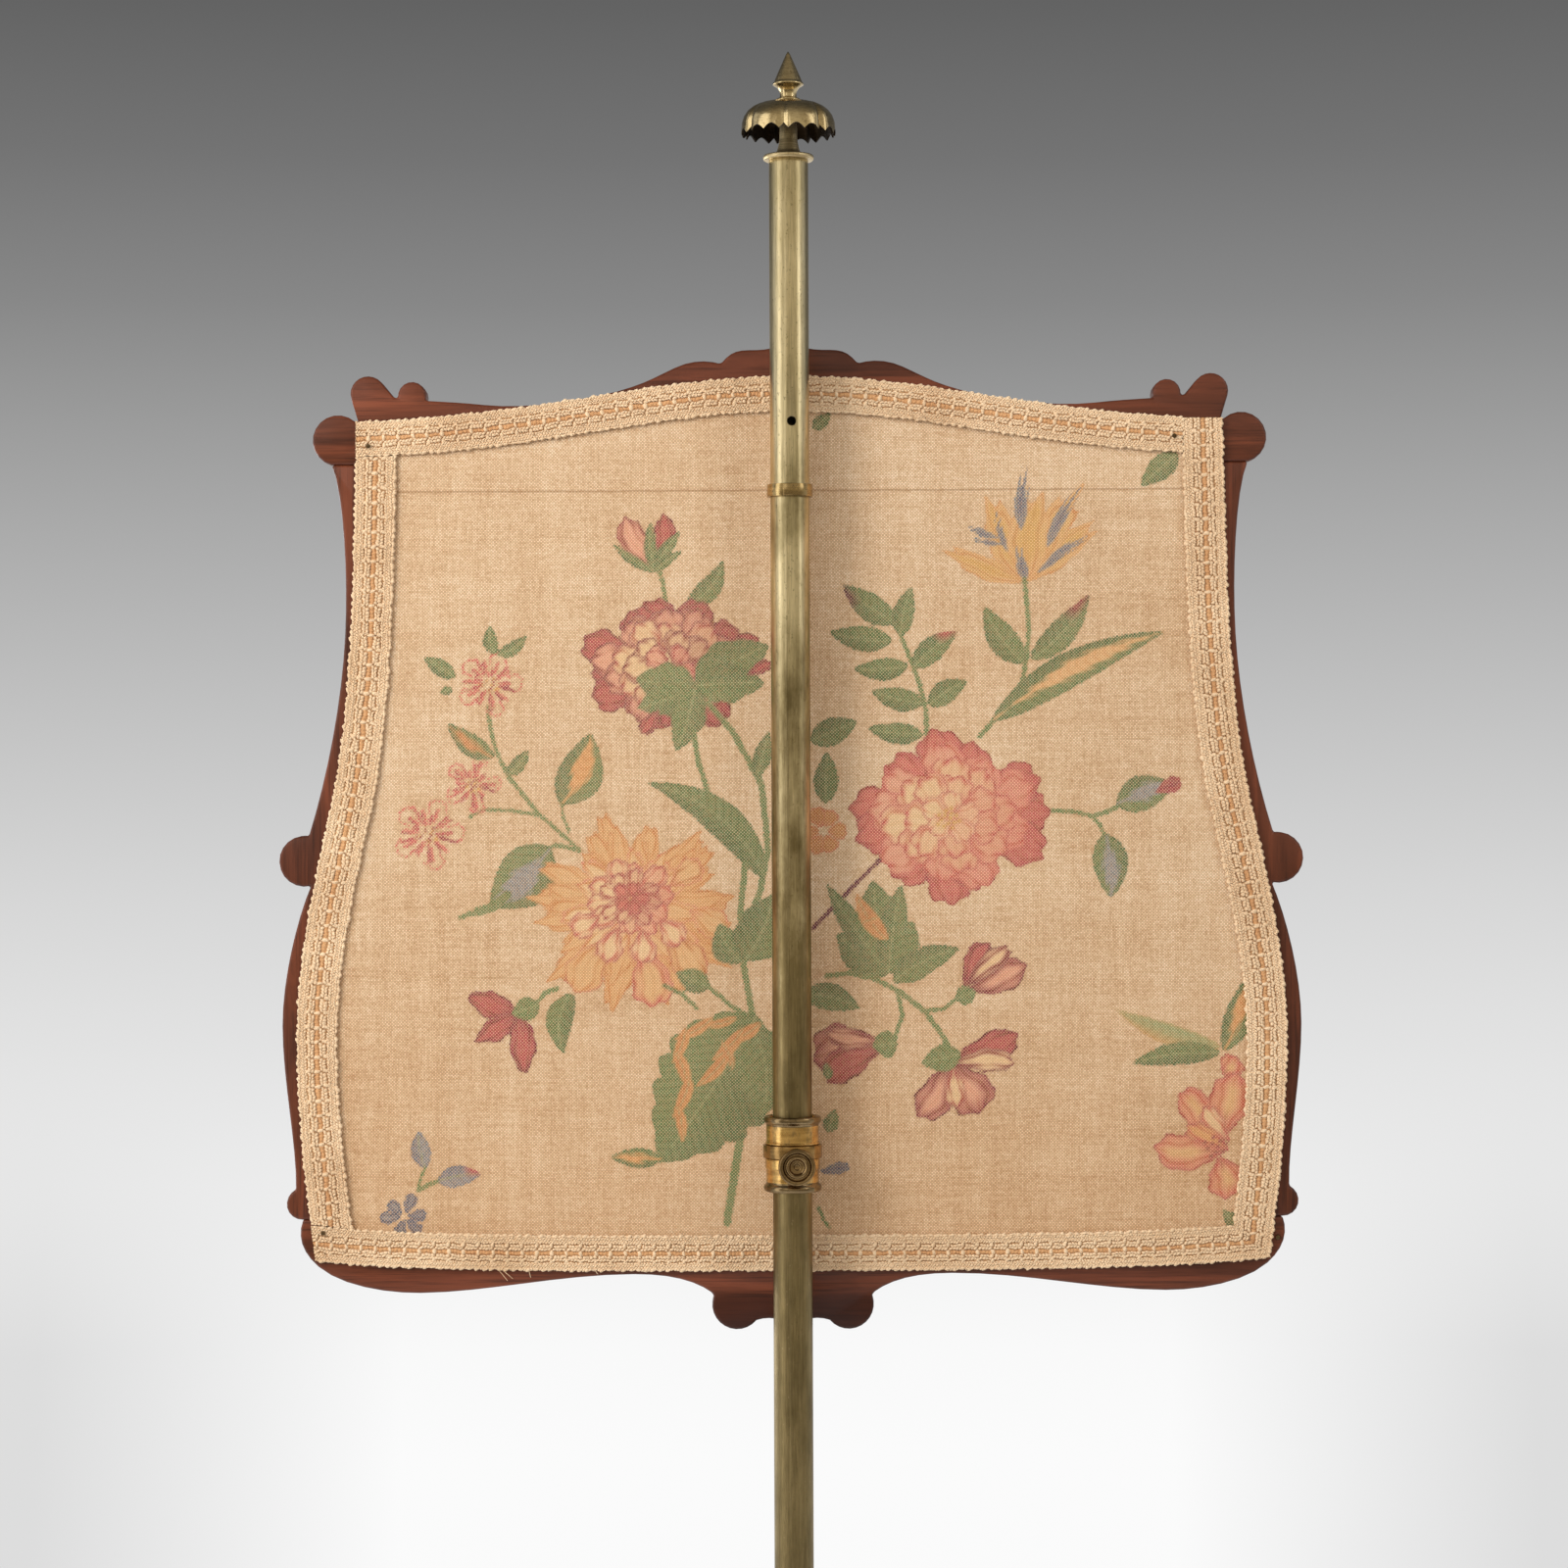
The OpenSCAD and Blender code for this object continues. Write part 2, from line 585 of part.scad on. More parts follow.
// A ring round the pole's axis on a neck and a plate, with its underside at z
module ring_on_plate(z, in_r, out_r, h) {
    difference() {
        union() {
            translate([0, 0, z]) cylinder(r = out_r, h = h);
            translate([-h / 2, 0, z]) cube([h, bracket_y + bracket_t / 2, h]);
            translate([-bracket_w / 2, bracket_y, z + h / 2 - bracket_h / 2])
                cube([bracket_w, bracket_t, bracket_h]);
        }
        translate([0, 0, z - cut_past]) cylinder(r = in_r, h = h + 2 * cut_past);
        bracket_screw_places() cylinder(r = bracket_screw_r, h = 20, center = true);
    }
}
module swivel_strap() {
    color(gilt_brass) ring_on_plate(strap_z, strap_in_r, strap_out_r, strap_h);
}
lap_turn = -4;
lap_w = 4.2;
lap_t = 0.5;
module guide_ring() {
    z = ring_z - ring_h / 2;
    outer = bore_r + 0.2 + ring_t;
    color(brass) union() {
        ring_on_plate(z, bore_r + 0.2, outer, ring_h);
        rotate([0, 0, lap_turn]) translate([-lap_w / 2, -outer - lap_t, z + 0.3])
            cube([lap_w, ring_t, ring_h - 0.6]);
    }
}
module bracket_screws() {
    color(brass) bracket_screw_places()
        slotted_screw(2.6, 1.2, bracket_screw_r, bracket_t + cloth_t + bracket_screw_len);
}

// The wooden frame of the screen

rail_z = crest_z - 28.5;
sill_z = 8.8 - belly_z;
waist_z = 85;
hip_z = -118;
// A point on a lobe's edge at an angle, and the arc round it from one angle to a smaller one
function on_lobe(lobe, angle) = lobe[0] + lobe[1] * [cos(angle), sin(angle)];
function arc(lobe, from, to, steps = 12) =
    [for (i = [0 : steps - 1]) on_lobe(lobe, from + (to - from) * i / steps)];
// A line that starts on the pole's axis, with its mirror image before it, from left to right
function from_left(points) = concat(across(points), [for (i = [1 : len(points) - 1]) points[i]]);
// A line that ends on the pole's axis, with its mirror image after it, from right to left
function to_left(points) =
    let (mirrored = across(points))
    concat(points, [for (i = [1 : len(points) - 1]) mirrored[i]]);

ear_side = [[waist_half + 3.4, rail_z - 17.3], ear_side_r];
ear_top = [[waist_half - 11.4, rail_z + 5.6], ear_top_r];
ear_small = [[waist_half - 33, rail_z + 4.5], ear_small_r];
ear_notch = [waist_half - 6.7, rail_z - 8.6];
side_lobe = [[hip_half - 11.3, -37], side_lobe_r];
foot_lobe = [[hip_half - 9.5, 43.9 - belly_z], foot_lobe_r];
tab_lobe = [[27.4, -6.1 - belly_z], tab_lobe_r];
crest_notch = [33.6, crest_z - 8.8];
tab_notch = [39.4, -0.6 - belly_z];
frame_lobes = [ear_side, ear_top, ear_small, side_lobe, foot_lobe, tab_lobe];
// Where the stiles meet the rails
top_joint = on_lobe(ear_side, -75);
bottom_joint = on_lobe(foot_lobe, -92);

// The right half of the frame's outer edge, clockwise: its top rail, its stile and its bottom rail
top_outer = concat(
    curve([0, crest_z], [6, crest_z], [9, crest_z - 2], [16, crest_z - 2.1], 5),
    curve([16, crest_z - 2.1], [25, crest_z - 2.1], [28, crest_z - 2], crest_notch, 6),
    curve(crest_notch, [40, crest_z - 6.9], [48, crest_z - 6.8], [56, crest_z - 10.6], 5),
    curve([56, crest_z - 10.6], [68, crest_z - 16.2], [70, crest_z - 18], [84, rail_z + 6.5], 5),
    curve([84, rail_z + 6.5], [105, rail_z + 1.3], [130, rail_z - 2.2], [150, rail_z], 7),
    curve([150, rail_z], [160, rail_z + 1.1], [168, rail_z + 1.5], on_lobe(ear_small, 200), 4),
    arc(ear_small, 200, -8, 10),
    [on_lobe(ear_small, -8), ear_small[0] + [8.8, -0.9]],
    arc(ear_top, 138, -16, 10),
    [on_lobe(ear_top, -16), ear_notch],
    arc(ear_side, 132, -75),
    [top_joint]);
side_outer = concat(
    curve(top_joint, [waist_half + 1.3, 145], [waist_half - 0.6, 110], [waist_half, waist_z], 7),
    curve([waist_half, waist_z], [waist_half + 0.6, 50], [waist_half + 7.8, 10], on_lobe(side_lobe, 100), 9),
    arc(side_lobe, 100, -104),
    curve(on_lobe(side_lobe, -104), [hip_half - 7.2, -66], [hip_half, -95], [hip_half, hip_z], 8),
    curve([hip_half, hip_z], [hip_half, hip_z - 27], [hip_half - 6.7, hip_z - 57], on_lobe(foot_lobe, 66), 8),
    arc(foot_lobe, 66, -92, 8),
    [bottom_joint]);
bottom_outer = concat(
    curve(bottom_joint, [hip_half - 6.7, 28.2 - belly_z], [hip_half - 9.2, 20.2 - belly_z],
        [hip_half - 17.2, 13.2 - belly_z], 6),
    curve([hip_half - 17.2, 13.2 - belly_z], [hip_half - 28.2, 3.7 - belly_z], [200, -belly_z - 0.1],
        [183, -belly_z], 6),
    curve([183, -belly_z], [150, 0.2 - belly_z], [115, sill_z], [78, sill_z], 8),
    curve([78, sill_z], [60, sill_z], [48, sill_z - 3.1], tab_notch, 6),
    [tab_notch],
    arc(tab_lobe, 20, -140),
    curve(on_lobe(tab_lobe, -140), tab_lobe[0] + [-14.4, -6.2], [8, -12.8 - belly_z],
        [0, -15.4 - belly_z], 5),
    [[0, -15.4 - belly_z]]);

// The right half of the cloth's outline: its level top edge, its side and its level bottom edge
cloth_corner = [waist_half - 5.9, rail_z - 8.2];
cloth_bend = side_lobe[0] + [-12.3, 22.6];
cloth_foot = [hip_half - 16.2, 16.2 - belly_z];
cloth_sill = sill_z + 1.8;
cloth_crest = crest_z - 15.2;
cloth_top_half = curve([0, cloth_crest], [70, cloth_crest], [120, rail_z - 5.7], cloth_corner, 16);
cloth_side = concat(
    curve(cloth_corner, [waist_half - 4.2, 120], [waist_half - 4.7, 40], cloth_bend, 14),
    curve(cloth_bend, cloth_bend + [5.9, -27.6], [hip_half - 7.4, -85], [hip_half - 7.4, -125], 10),
    curve([hip_half - 7.4, -125], [hip_half - 7.4, -165], [hip_half - 12.2, -200], cloth_foot, 8),
    [cloth_foot]);
cloth_bottom_half = concat(
    curve(cloth_foot, [190, cloth_sill + 0.6], [120, cloth_sill], [0, cloth_sill], 10),
    [[0, cloth_sill]]);
top_line = from_left(concat(cloth_top_half, [cloth_corner]));
bottom_line = to_left(cloth_bottom_half);

// Edges that run inside the cloth's outline, d away from it: their corners, then their right half
// in three parts, then the whole edge
function corner_in(before, corner, after, d) =
    let (a = right_of(corner - before), b = right_of(after - corner))
    corner + d * (a + b) / (1 + a * b);
function top_corner(d) = corner_in(cloth_top_half[len(cloth_top_half) - 1], cloth_corner, cloth_side[1], d);
function foot_corner(d) = corner_in(cloth_side[len(cloth_side) - 2], cloth_foot, cloth_bottom_half[1], d);
function edge_top(d) = [for (p = beside(top_line, d)) if (p.x > -0.01 && p.x < top_corner(d).x - 1) p];
function edge_side(d) = concat(
    [top_corner(d)],
    [for (p = beside(cloth_side, d)) if (p.y < top_corner(d).y - 1 && p.y > foot_corner(d).y + 1) p],
    [foot_corner(d)]);
function edge_bottom(d) = [for (p = beside(bottom_line, d)) if (p.x > -0.01 && p.x < foot_corner(d).x - 1) p];
function edge_in(d) =
    let (half = concat(edge_top(d), edge_side(d), edge_bottom(d)), mirrored = across(half))
    concat(half, [for (i = [1 : len(half) - 2]) mirrored[i]]);
rebate_in = frame_cover - rebate_w;

// The same right half, parted where the stiles meet the rails
function side_at(d, z) = [lookup(z, [for (p = edge_side(d)) [p.y, p.x]]), z];
function top_inner(d) = concat(
    edge_top(d),
    [for (p = edge_side(d)) if (p.y > top_joint.y) p],
    [side_at(d, top_joint.y)]);
function side_inner(d) = concat(
    [side_at(d, top_joint.y)],
    [for (p = edge_side(d)) if (p.y < top_joint.y && p.y > bottom_joint.y) p],
    [side_at(d, bottom_joint.y)]);
function bottom_inner(d) = concat(
    [side_at(d, bottom_joint.y)],
    [for (p = edge_side(d)) if (p.y < bottom_joint.y) p],
    edge_bottom(d));

dowel_y = frame_y + frame_t * 0.6;
dowel_step = 8;
top_dowel_x = (side_at(rebate_in, top_joint.y).x + top_joint.x) / 2;
bottom_dowel_share = 0.7;
bottom_dowel_x = side_at(rebate_in, bottom_joint.y).x * (1 - bottom_dowel_share)
    + bottom_joint.x * bottom_dowel_share;
module dowel_places() {
    for (side = [-1, 1]) {
        for (step = [-0.5, 0.5])
            translate([side * (top_dowel_x + step * dowel_step), dowel_y, screen_z + top_joint.y]) children();
        translate([side * bottom_dowel_x, dowel_y, screen_z + bottom_joint.y]) children();
    }
}
module batten_shape(gap) {
    top = cloth_crest - frame_cover + rebate_w + batten_end;
    bottom = cloth_sill + frame_cover - rebate_w - batten_end;
    translate([-batten_w / 2 - gap, bottom - gap]) square([batten_w + 2 * gap, top - bottom + 2 * gap]);
}
batten_screw_r = 1.5;
module batten_screw_places() {
    for (side = [-1, 1]) {
        translate([side * batten_w / 4, frame_y, screen_z + cloth_crest - rebate_in + batten_end / 2])
            out_of_back() children();
        translate([side * batten_w / 4, frame_y, screen_z + cloth_sill + rebate_in - batten_end / 2])
            out_of_back() children();
    }
}
pin_r = 0.45;
pin_head_r = 1.1;
pin_len = 7;
// Each pin's place in the screen's x and z, and the face that its head lies on
braid_y = cloth_y - braid_t;
pin_places = [
    [ear_small[0].x + 3.2, cloth_corner.y - braid_level_w / 2, braid_y],
    [6 - cloth_corner.x, cloth_corner.y - braid_level_w * 0.7, braid_y],
    [4 - cloth_foot.x, cloth_foot.y + braid_level_w * 0.8, braid_y],
    [cloth_foot.x + 4, cloth_foot.y + braid_level_w * 0.55, frame_y]];
module pin_shanks() {
    for (p = pin_places) translate([p.x, p[2], screen_z + p.y])
        out_of_back() translate([0, 0, -pin_len]) cylinder(r = pin_r, h = pin_len + 0.2, $fn = 24);
}

// One piece of the frame: its full shape, less the rebate's share and the holes in it
module frame_piece(shape, rebate) {
    color(mahogany) difference() {
        slab(frame_y, frame_t) polygon(shape);
        slab(frame_y - cut_past, frame_t - lip_t + cut_past) polygon(rebate);
        children();
    }
}
module dowel_holes() dowel_places()
    cylinder(r = dowel_r + seat_gap, h = dowel_len + 2 * seat_gap, center = true);
module batten_holes() {
    slab(frame_y - cut_past, batten_t + cut_past) batten_shape(seat_gap);
    batten_screw_places() cylinder(r = batten_screw_r, h = 2 * (batten_t + 3.5), center = true);
}
down = [0, -cut_past];
module top_rail() {
    edge = from_left(top_inner(rebate_in));
    frame_piece(
        concat(from_left(top_outer), backwards(from_left(top_inner(frame_cover)))),
        concat([edge[0] + down], edge, [edge[len(edge) - 1] + down])) {
        dowel_holes();
        batten_holes();
        pin_shanks();
    }
}
module bottom_rail() {
    edge = to_left(bottom_inner(rebate_in));
    frame_piece(
        concat(to_left(bottom_outer), backwards(to_left(bottom_inner(frame_cover)))),
        concat([edge[0] - down], edge, [edge[len(edge) - 1] - down])) {
        dowel_holes();
        batten_holes();
        pin_shanks();
    }
}
// The stile on the right, or on the left where side is -1
module stile(side) {
    edge = side_inner(rebate_in);
    inward = [-40, 0];
    first = edge[0] - down;
    last = edge[len(edge) - 1] + down;
    shape = concat(side_outer, backwards(side_inner(frame_cover)));
    rebate = concat([first], edge, [last, last + inward, first + inward]);
    frame_piece([for (p = shape) [side * p.x, p.y]], [for (p = rebate) [side * p.x, p.y]]) dowel_holes();
}
module left_stile() stile(-1);
module right_stile() stile(1);
module corner_dowels() {
    color(pine) dowel_places() cylinder(r = dowel_r, h = dowel_len, center = true, $fn = 32);
}
module batten() {
    color(pine) difference() {
        slab(frame_y, batten_t) batten_shape(0);
        batten_screw_places() cylinder(r = batten_screw_r, h = 4 * batten_t, center = true);
        batten_screw_places() translate([0, 0, -2]) cylinder(r = 3.1, h = 2 + cut_past);
        bracket_screw_places() translate([0, 0, -bracket_t - cloth_t - bracket_screw_len])
            cylinder(r = bracket_screw_r, h = 20);
    }
}
module batten_screws() {
    color(iron) batten_screw_places() translate([0, 0, -2])
        slotted_screw(3, 1.8, batten_screw_r, batten_t + 1);
}
module panel_board() {
    color(pine) slab(frame_y + batten_t, board_t) polygon(edge_in(rebate_in + seat_gap));
}
module needlework() {
    color(linen) slab(frame_y + batten_t + board_t, needle_t) polygon(edge_in(rebate_in + seat_gap));
}
module sight_bead() {
    outer = edge_in(frame_cover + seat_gap);
    inner = edge_in(frame_cover + bead_w);
    n = len(outer);
    color(mahogany) slab(front_y - lip_t, lip_t + bead_out)
        polygon(concat(outer, inner), [[for (i = [0 : n - 1]) i], [for (i = [n : n + len(inner) - 1]) i]]);
}
// Turned eyes of the scrolls, on the front of each lobe
boss_h = 4;
module scroll_bosses() {
    color(mahogany) for (lobe = frame_lobes, side = [-1, 1]) {
        r = lobe[1] * 0.8;
        translate([side * lobe[0].x, front_y, screen_z + lobe[0].y]) rotate([-90, 0, 0])
            rotate_extrude() polygon(concat(
                [[0, 0]],
                curve([r, 0], [r, boss_h * 0.8], [r * 0.8, boss_h * 0.9], [r * 0.62, boss_h * 0.6], 6),
                curve([r * 0.5, boss_h * 0.5], [r * 0.45, boss_h], [r * 0.2, boss_h], [0, boss_h], 5),
                [[0, boss_h]]));
    }
}

// The backing cloth and the braid that covers its edge

module backing_cloth() {
    color(linen) difference() {
        slab(cloth_y, cloth_t) polygon(edge_in(cloth_tuck));
        bracket_screw_places() cylinder(r = bracket_screw_r, h = 20, center = true);
        pin_shanks();
    }
}
module top_band() strip(top_line, braid_level_w);
module bottom_band() strip(bottom_line, braid_level_w);
module right_band() strip(cloth_side, braid_side_w);
module left_band() strip(across(cloth_side), braid_side_w);
module braid_solid() {
    color(braid_cream) difference() {
        slab(cloth_y - braid_t, braid_t) children();
        pin_shanks();
    }
}
module braid_top() braid_solid() difference() {
    top_band();
    right_band();
}
module braid_right() braid_solid() difference() {
    right_band();
    bottom_band();
}
module braid_bottom() braid_solid() bottom_band();
module braid_left() braid_solid() difference() {
    left_band();
    top_band();
    bottom_band();
}
module gimp_pins() {
    color(brass) {
        pin_shanks();
        for (p = pin_places) translate([p.x, p[2], screen_z + p.y])
            out_of_back() cylinder(r = pin_head_r, h = 0.6, $fn = 24);
    }
}

column();
leg(leg_angles[0]);  // leg_back
leg(leg_angles[1]);  // leg_right
leg(leg_angles[2]);  // leg_left
foot(leg_angles[0]);  // foot_back
foot(leg_angles[1]);  // foot_right
foot(leg_angles[2]);  // foot_left
leg_plate();
plate_screws();
drop_finial();
pole_socket();
socket_screws();
pole();
finial_stem();
finial_crown();
finial_spire();
collar_shell();
collar_liner();
clamp_shoe();
thumbscrew();
swivel_strap();
guide_ring();
bracket_screws();
top_rail();
bottom_rail();
left_stile();
right_stile();
corner_dowels();
batten();
batten_screws();
panel_board();
needlework();
sight_bead();
scroll_bosses();
backing_cloth();
braid_top();
braid_right();
braid_bottom();
braid_left();
gimp_pins();
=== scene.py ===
import math

import bpy
import numpy as np
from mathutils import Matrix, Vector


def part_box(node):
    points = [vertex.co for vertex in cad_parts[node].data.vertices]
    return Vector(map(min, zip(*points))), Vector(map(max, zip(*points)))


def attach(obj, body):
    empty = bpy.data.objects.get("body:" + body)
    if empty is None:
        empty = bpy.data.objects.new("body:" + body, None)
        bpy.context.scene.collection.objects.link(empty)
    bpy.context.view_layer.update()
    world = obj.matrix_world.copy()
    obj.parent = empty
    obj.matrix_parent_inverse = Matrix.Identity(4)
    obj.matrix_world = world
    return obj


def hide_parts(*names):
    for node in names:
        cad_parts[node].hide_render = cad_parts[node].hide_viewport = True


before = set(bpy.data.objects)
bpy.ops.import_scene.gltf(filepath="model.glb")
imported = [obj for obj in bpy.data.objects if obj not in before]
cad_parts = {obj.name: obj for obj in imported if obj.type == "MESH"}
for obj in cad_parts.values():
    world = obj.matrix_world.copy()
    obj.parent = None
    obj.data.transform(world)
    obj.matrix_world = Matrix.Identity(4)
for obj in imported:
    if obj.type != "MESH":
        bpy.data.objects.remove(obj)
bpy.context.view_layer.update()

# The studio: a level camera behind the screen at the height of its middle, turned a hair out of
# true, a paper sweep that pales downwards, soft boxes at both sides of the pole and a wide weak one
# before the cloth, with weaker ones for the lights on the metal. Two more are for other views.
screen_z = 1.086
camera_place = (-0.0034, -1.662, screen_z)
camera_roll = 0.235
black = (0, 0, 0, 1)
bench = {}


def rgb(red, green, blue):
    """A colour as seen on a screen, from 0 to 255, as linear light."""
    shares = [value / 255 for value in (red, green, blue)]
    return [s / 12.92 if s < 0.04 else ((s + 0.055) / 1.055) ** 2.4 for s in shares] + [1.0]


def grey(share):
    """A grey of linear light."""
    return (share, share, share, 1)


def plug(socket, value):
    """Gives a socket a value or another node's output."""
    if isinstance(value, bpy.types.NodeSocket):
        bench["tree"].links.new(value, socket)
    else:
        socket.default_value = value


def feed(made, **inputs):
    """Gives a node its inputs by name."""
    for name, value in inputs.items():
        plug(made.inputs[name.replace("_", " ")], value)


def node(kind, **inputs):
    """A shader node with its inputs, in the tree on the bench."""
    made = bench["tree"].nodes.new("ShaderNode" + kind)
    feed(made, **inputs)
    return made


def sums(operation, *values, kind="Math"):
    """One step of arithmetic on outputs and numbers, or on vectors."""
    made = node(kind)
    made.operation = operation
    for socket, value in zip(made.inputs, values):
        plug(socket, value)
    return made.outputs[0]


def weighted(start, *terms):
    """A start with outputs added to it, each times its weight."""
    for value, weight in terms:
        start = sums("MULTIPLY_ADD", value, weight, start)
    return start


def fitted(value, low, high, to_low=0.0, to_high=1.0):
    """A value carried from one range to another, and held at its ends."""
    return node("MapRange", Value=value, From_Min=low, From_Max=high, To_Min=to_low,
                To_Max=to_high).outputs["Result"]


def split(place):
    """A vector's outputs X, Y and Z."""
    return node("SeparateXYZ", Vector=place).outputs


def own():
    """The piece's own coordinates."""
    return node("TexCoord").outputs["Object"]


def ramp(factor, *stops):
    """Colours at their places along a factor from 0 to 1."""
    made = node("ValToRGB", Fac=factor)
    band = made.color_ramp
    while len(band.elements) < len(stops):
        band.elements.new(1.0)
    for element, (place, colour) in zip(band.elements, stops):
        element.position = place
        element.color = colour
    return made.outputs["Color"]


def blended(factor, first, second, how="MIX"):
    """Two colours mixed by a factor."""
    made = node("Mix")
    made.data_type = "RGBA"
    made.blend_type = how
    for place, value in ((0, factor), (6, first), (7, second)):
        plug(made.inputs[place], value)
    return made.outputs[2]


def finish(name):
    """A new material and its surface, with its node tree put on the bench."""
    made = bpy.data.materials.new(name)
    made.use_nodes = True
    bench["tree"] = made.node_tree
    return made, made.node_tree.nodes["Principled BSDF"]


camera = bpy.data.cameras.new("camera")
camera.lens = 78.75
camera.sensor_width = 36
camera_object = bpy.data.objects.new("camera", camera)
camera_object.location = camera_place
camera_object.rotation_euler = (math.radians(90), math.radians(camera_roll), 0)
bpy.context.scene.collection.objects.link(camera_object)
bpy.context.scene.camera = camera_object
bpy.context.scene.view_settings.view_transform = "Standard"

sweep_reach = 0.26
sweep_greys = ((0.0, 250), (0.13, 251), (0.19, 249), (0.28, 240), (0.36, 226), (0.44, 214), (0.52, 198),
               (0.604, 179), (0.686, 159), (0.767, 135), (0.846, 115), (0.924, 99), (1.0, 84))
world = bpy.data.worlds.new("studio")
bpy.context.scene.world = world
world.use_nodes = True
bench["tree"] = world.node_tree
ray = node("LightPath").outputs
seen = sums("MAXIMUM", ray["Is Camera Ray"], ray["Is Glossy Ray"])
seen = sums("MAXIMUM", seen, ray["Is Transmission Ray"])
towards = split(node("TexCoord").outputs["Generated"])
paper = ramp(fitted(towards["Z"], -sweep_reach, sweep_reach),
             *[(place, rgb(tone, tone, tone)) for place, tone in sweep_greys])
aside = fitted(sums("ABSOLUTE", towards["X"]), 0.11, 0.21)
below = fitted(towards["Z"], -0.06, -0.16)
paper = blended(sums("MULTIPLY", aside, below), paper, rgb(221, 221, 221))
before = fitted(towards["Y"], 0.1, -0.5)
dim = sums("MULTIPLY", before, sums("SUBTRACT", 1.0, ray["Is Camera Ray"]))
walls = ramp(fitted(towards["Z"], -1.0, 1.0), (0.2, (0.06, 0.05, 0.04, 1)),
             (0.44, (0.36, 0.31, 0.22, 1)), (0.52, (0.45, 0.39, 0.28, 1)), (0.68, (0.6, 0.54, 0.42, 1)),
             (0.95, (0.2, 0.18, 0.15, 1)))
backdrop = node("Background", Color=blended(dim, paper, walls), Strength=1.0)
room = node("Background", Color=(1.0, 0.98, 0.95, 1.0), Strength=0.31)
both = node("MixShader", Fac=seen)
plug(both.inputs[1], room.outputs[0])
plug(both.inputs[2], backdrop.outputs[0])
feed(world.node_tree.nodes["World Output"], Surface=both.outputs[0])


def soft_box(name, place, aim, width, height, power, glossy=True):
    """A rectangular soft light at a place, turned towards a point."""
    lamp = bpy.data.lights.new(name, "AREA")
    lamp.shape = "RECTANGLE"
    lamp.size = width
    lamp.size_y = height
    lamp.energy = power
    made = bpy.data.objects.new(name, lamp)
    made.location = place
    run = [a - p for a, p in zip(aim, place)]
    level = math.hypot(run[0], run[1])
    made.rotation_euler = (math.atan2(level, -run[2]), 0, math.atan2(-run[0], run[1]))
    made.visible_glossy = glossy
    bpy.context.scene.collection.objects.link(made)


soft_box("left_box", (-1.25, -1.2, 1.85), (0, 0, 1.2), 0.55, 1.25, 24, glossy=False)
soft_box("left_sheen", (-1.4, -0.66, 1.86), (0, 0, 1.4), 0.62, 1.2, 3.2)
soft_box("left_rim", (-1.5, 0.25, 1.86), (0, 0, 1.4), 0.6, 1.2, 1.3)
soft_box("low_sheen", (-1.4, -0.66, 0.72), (0, 0, 0.9), 0.5, 1.2, 3.0)
soft_box("right_box", (1.12, -1.02, 1.85), (0, 0, 1.2), 0.5, 1.25, 6, glossy=False)
soft_box("right_sheen", (1.4, -0.66, 1.98), (0, 0, 1.5), 0.45, 1.0, 2.1)
soft_box("right_rim", (1.5, 0.25, 1.98), (0, 0, 1.4), 0.6, 1.0, 0.9)
soft_box("front_box", (-0.6, -2.3, 2.0), (0, 0, 1.05), 1.6, 1.4, 14, glossy=False)
soft_box("front_sheen", (-1.05, -2.2, 2.1), (0, 0, 1.4), 0.7, 1.2, 1.6)
soft_box("far_box", (1.3, 1.9, 1.9), (0, 0, 1.0), 1.2, 1.4, 26, glossy=False)
soft_box("far_fill", (-1.7, 1.3, 0.9), (0, 0, 0.9), 1.0, 0.8, 12)

floor_r = 2.4
bpy.ops.object.select_all(action="DESELECT")
bpy.ops.mesh.primitive_circle_add(vertices=96, radius=floor_r, fill_type="NGON")
floor = bpy.context.active_object
floor.name = "floor"
paint, surface = finish("floor_paint")
speckle = node("TexNoise", Vector=own(), Scale=3.0).outputs["Fac"]
paper = ramp(speckle, (0.3, rgb(226, 225, 223)), (0.7, rgb(232, 231, 229)))
feed(surface, Base_Color=paper, Roughness=0.8)
floor.data.materials.append(paint)

# The stand: a turned mahogany column with three curved legs tenoned into it, turned feet and a
# turned drop underneath, all stained dark and polished. The edges that hands and brooms
# reach are rounded, and the grain runs along each piece.
mm = 0.001
weld = 0.002 * mm
flat_angle = 0.3


def placed(name, data):
    """A new object, alone selected and active."""
    bpy.ops.object.select_all(action="DESELECT")
    piece = bpy.data.objects.new(name, data)
    bpy.context.scene.collection.objects.link(piece)
    piece.select_set(True)
    bpy.context.view_layer.objects.active = piece
    return piece


def applied(piece, kind, **settings):
    """Changes the active piece by a modifier."""
    change = piece.modifiers.new(kind, kind)
    for name, value in settings.items():
        setattr(change, name, value)
    bpy.ops.object.modifier_apply(modifier=change.name)


def dressed(name, body, slot, edge, *looks, steps=2, corner=35):
    """A copy of a solid with its doubles merged, sharp edges rounded, curves smooth and finishes on."""
    piece = placed(name + "_finished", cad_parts[name].data.copy())
    piece.data.materials.clear()
    bpy.ops.mesh.customdata_custom_splitnormals_clear()
    bpy.ops.object.mode_set(mode="EDIT")
    bpy.ops.mesh.select_all(action="SELECT")
    bpy.ops.mesh.remove_doubles(threshold=weld)
    bpy.ops.mesh.dissolve_limited(angle_limit=math.radians(flat_angle))
    bpy.ops.object.mode_set(mode="OBJECT")
    if edge:
        applied(piece, "BEVEL", width=edge * mm, segments=steps, limit_method="ANGLE",
                angle_limit=math.radians(corner), use_clamp_overlap=False)
    bpy.ops.object.shade_smooth_by_angle(angle=math.radians(corner))
    for look in looks:
        piece.data.materials.append(look)
    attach(piece, body)
    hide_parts(name)
    return piece


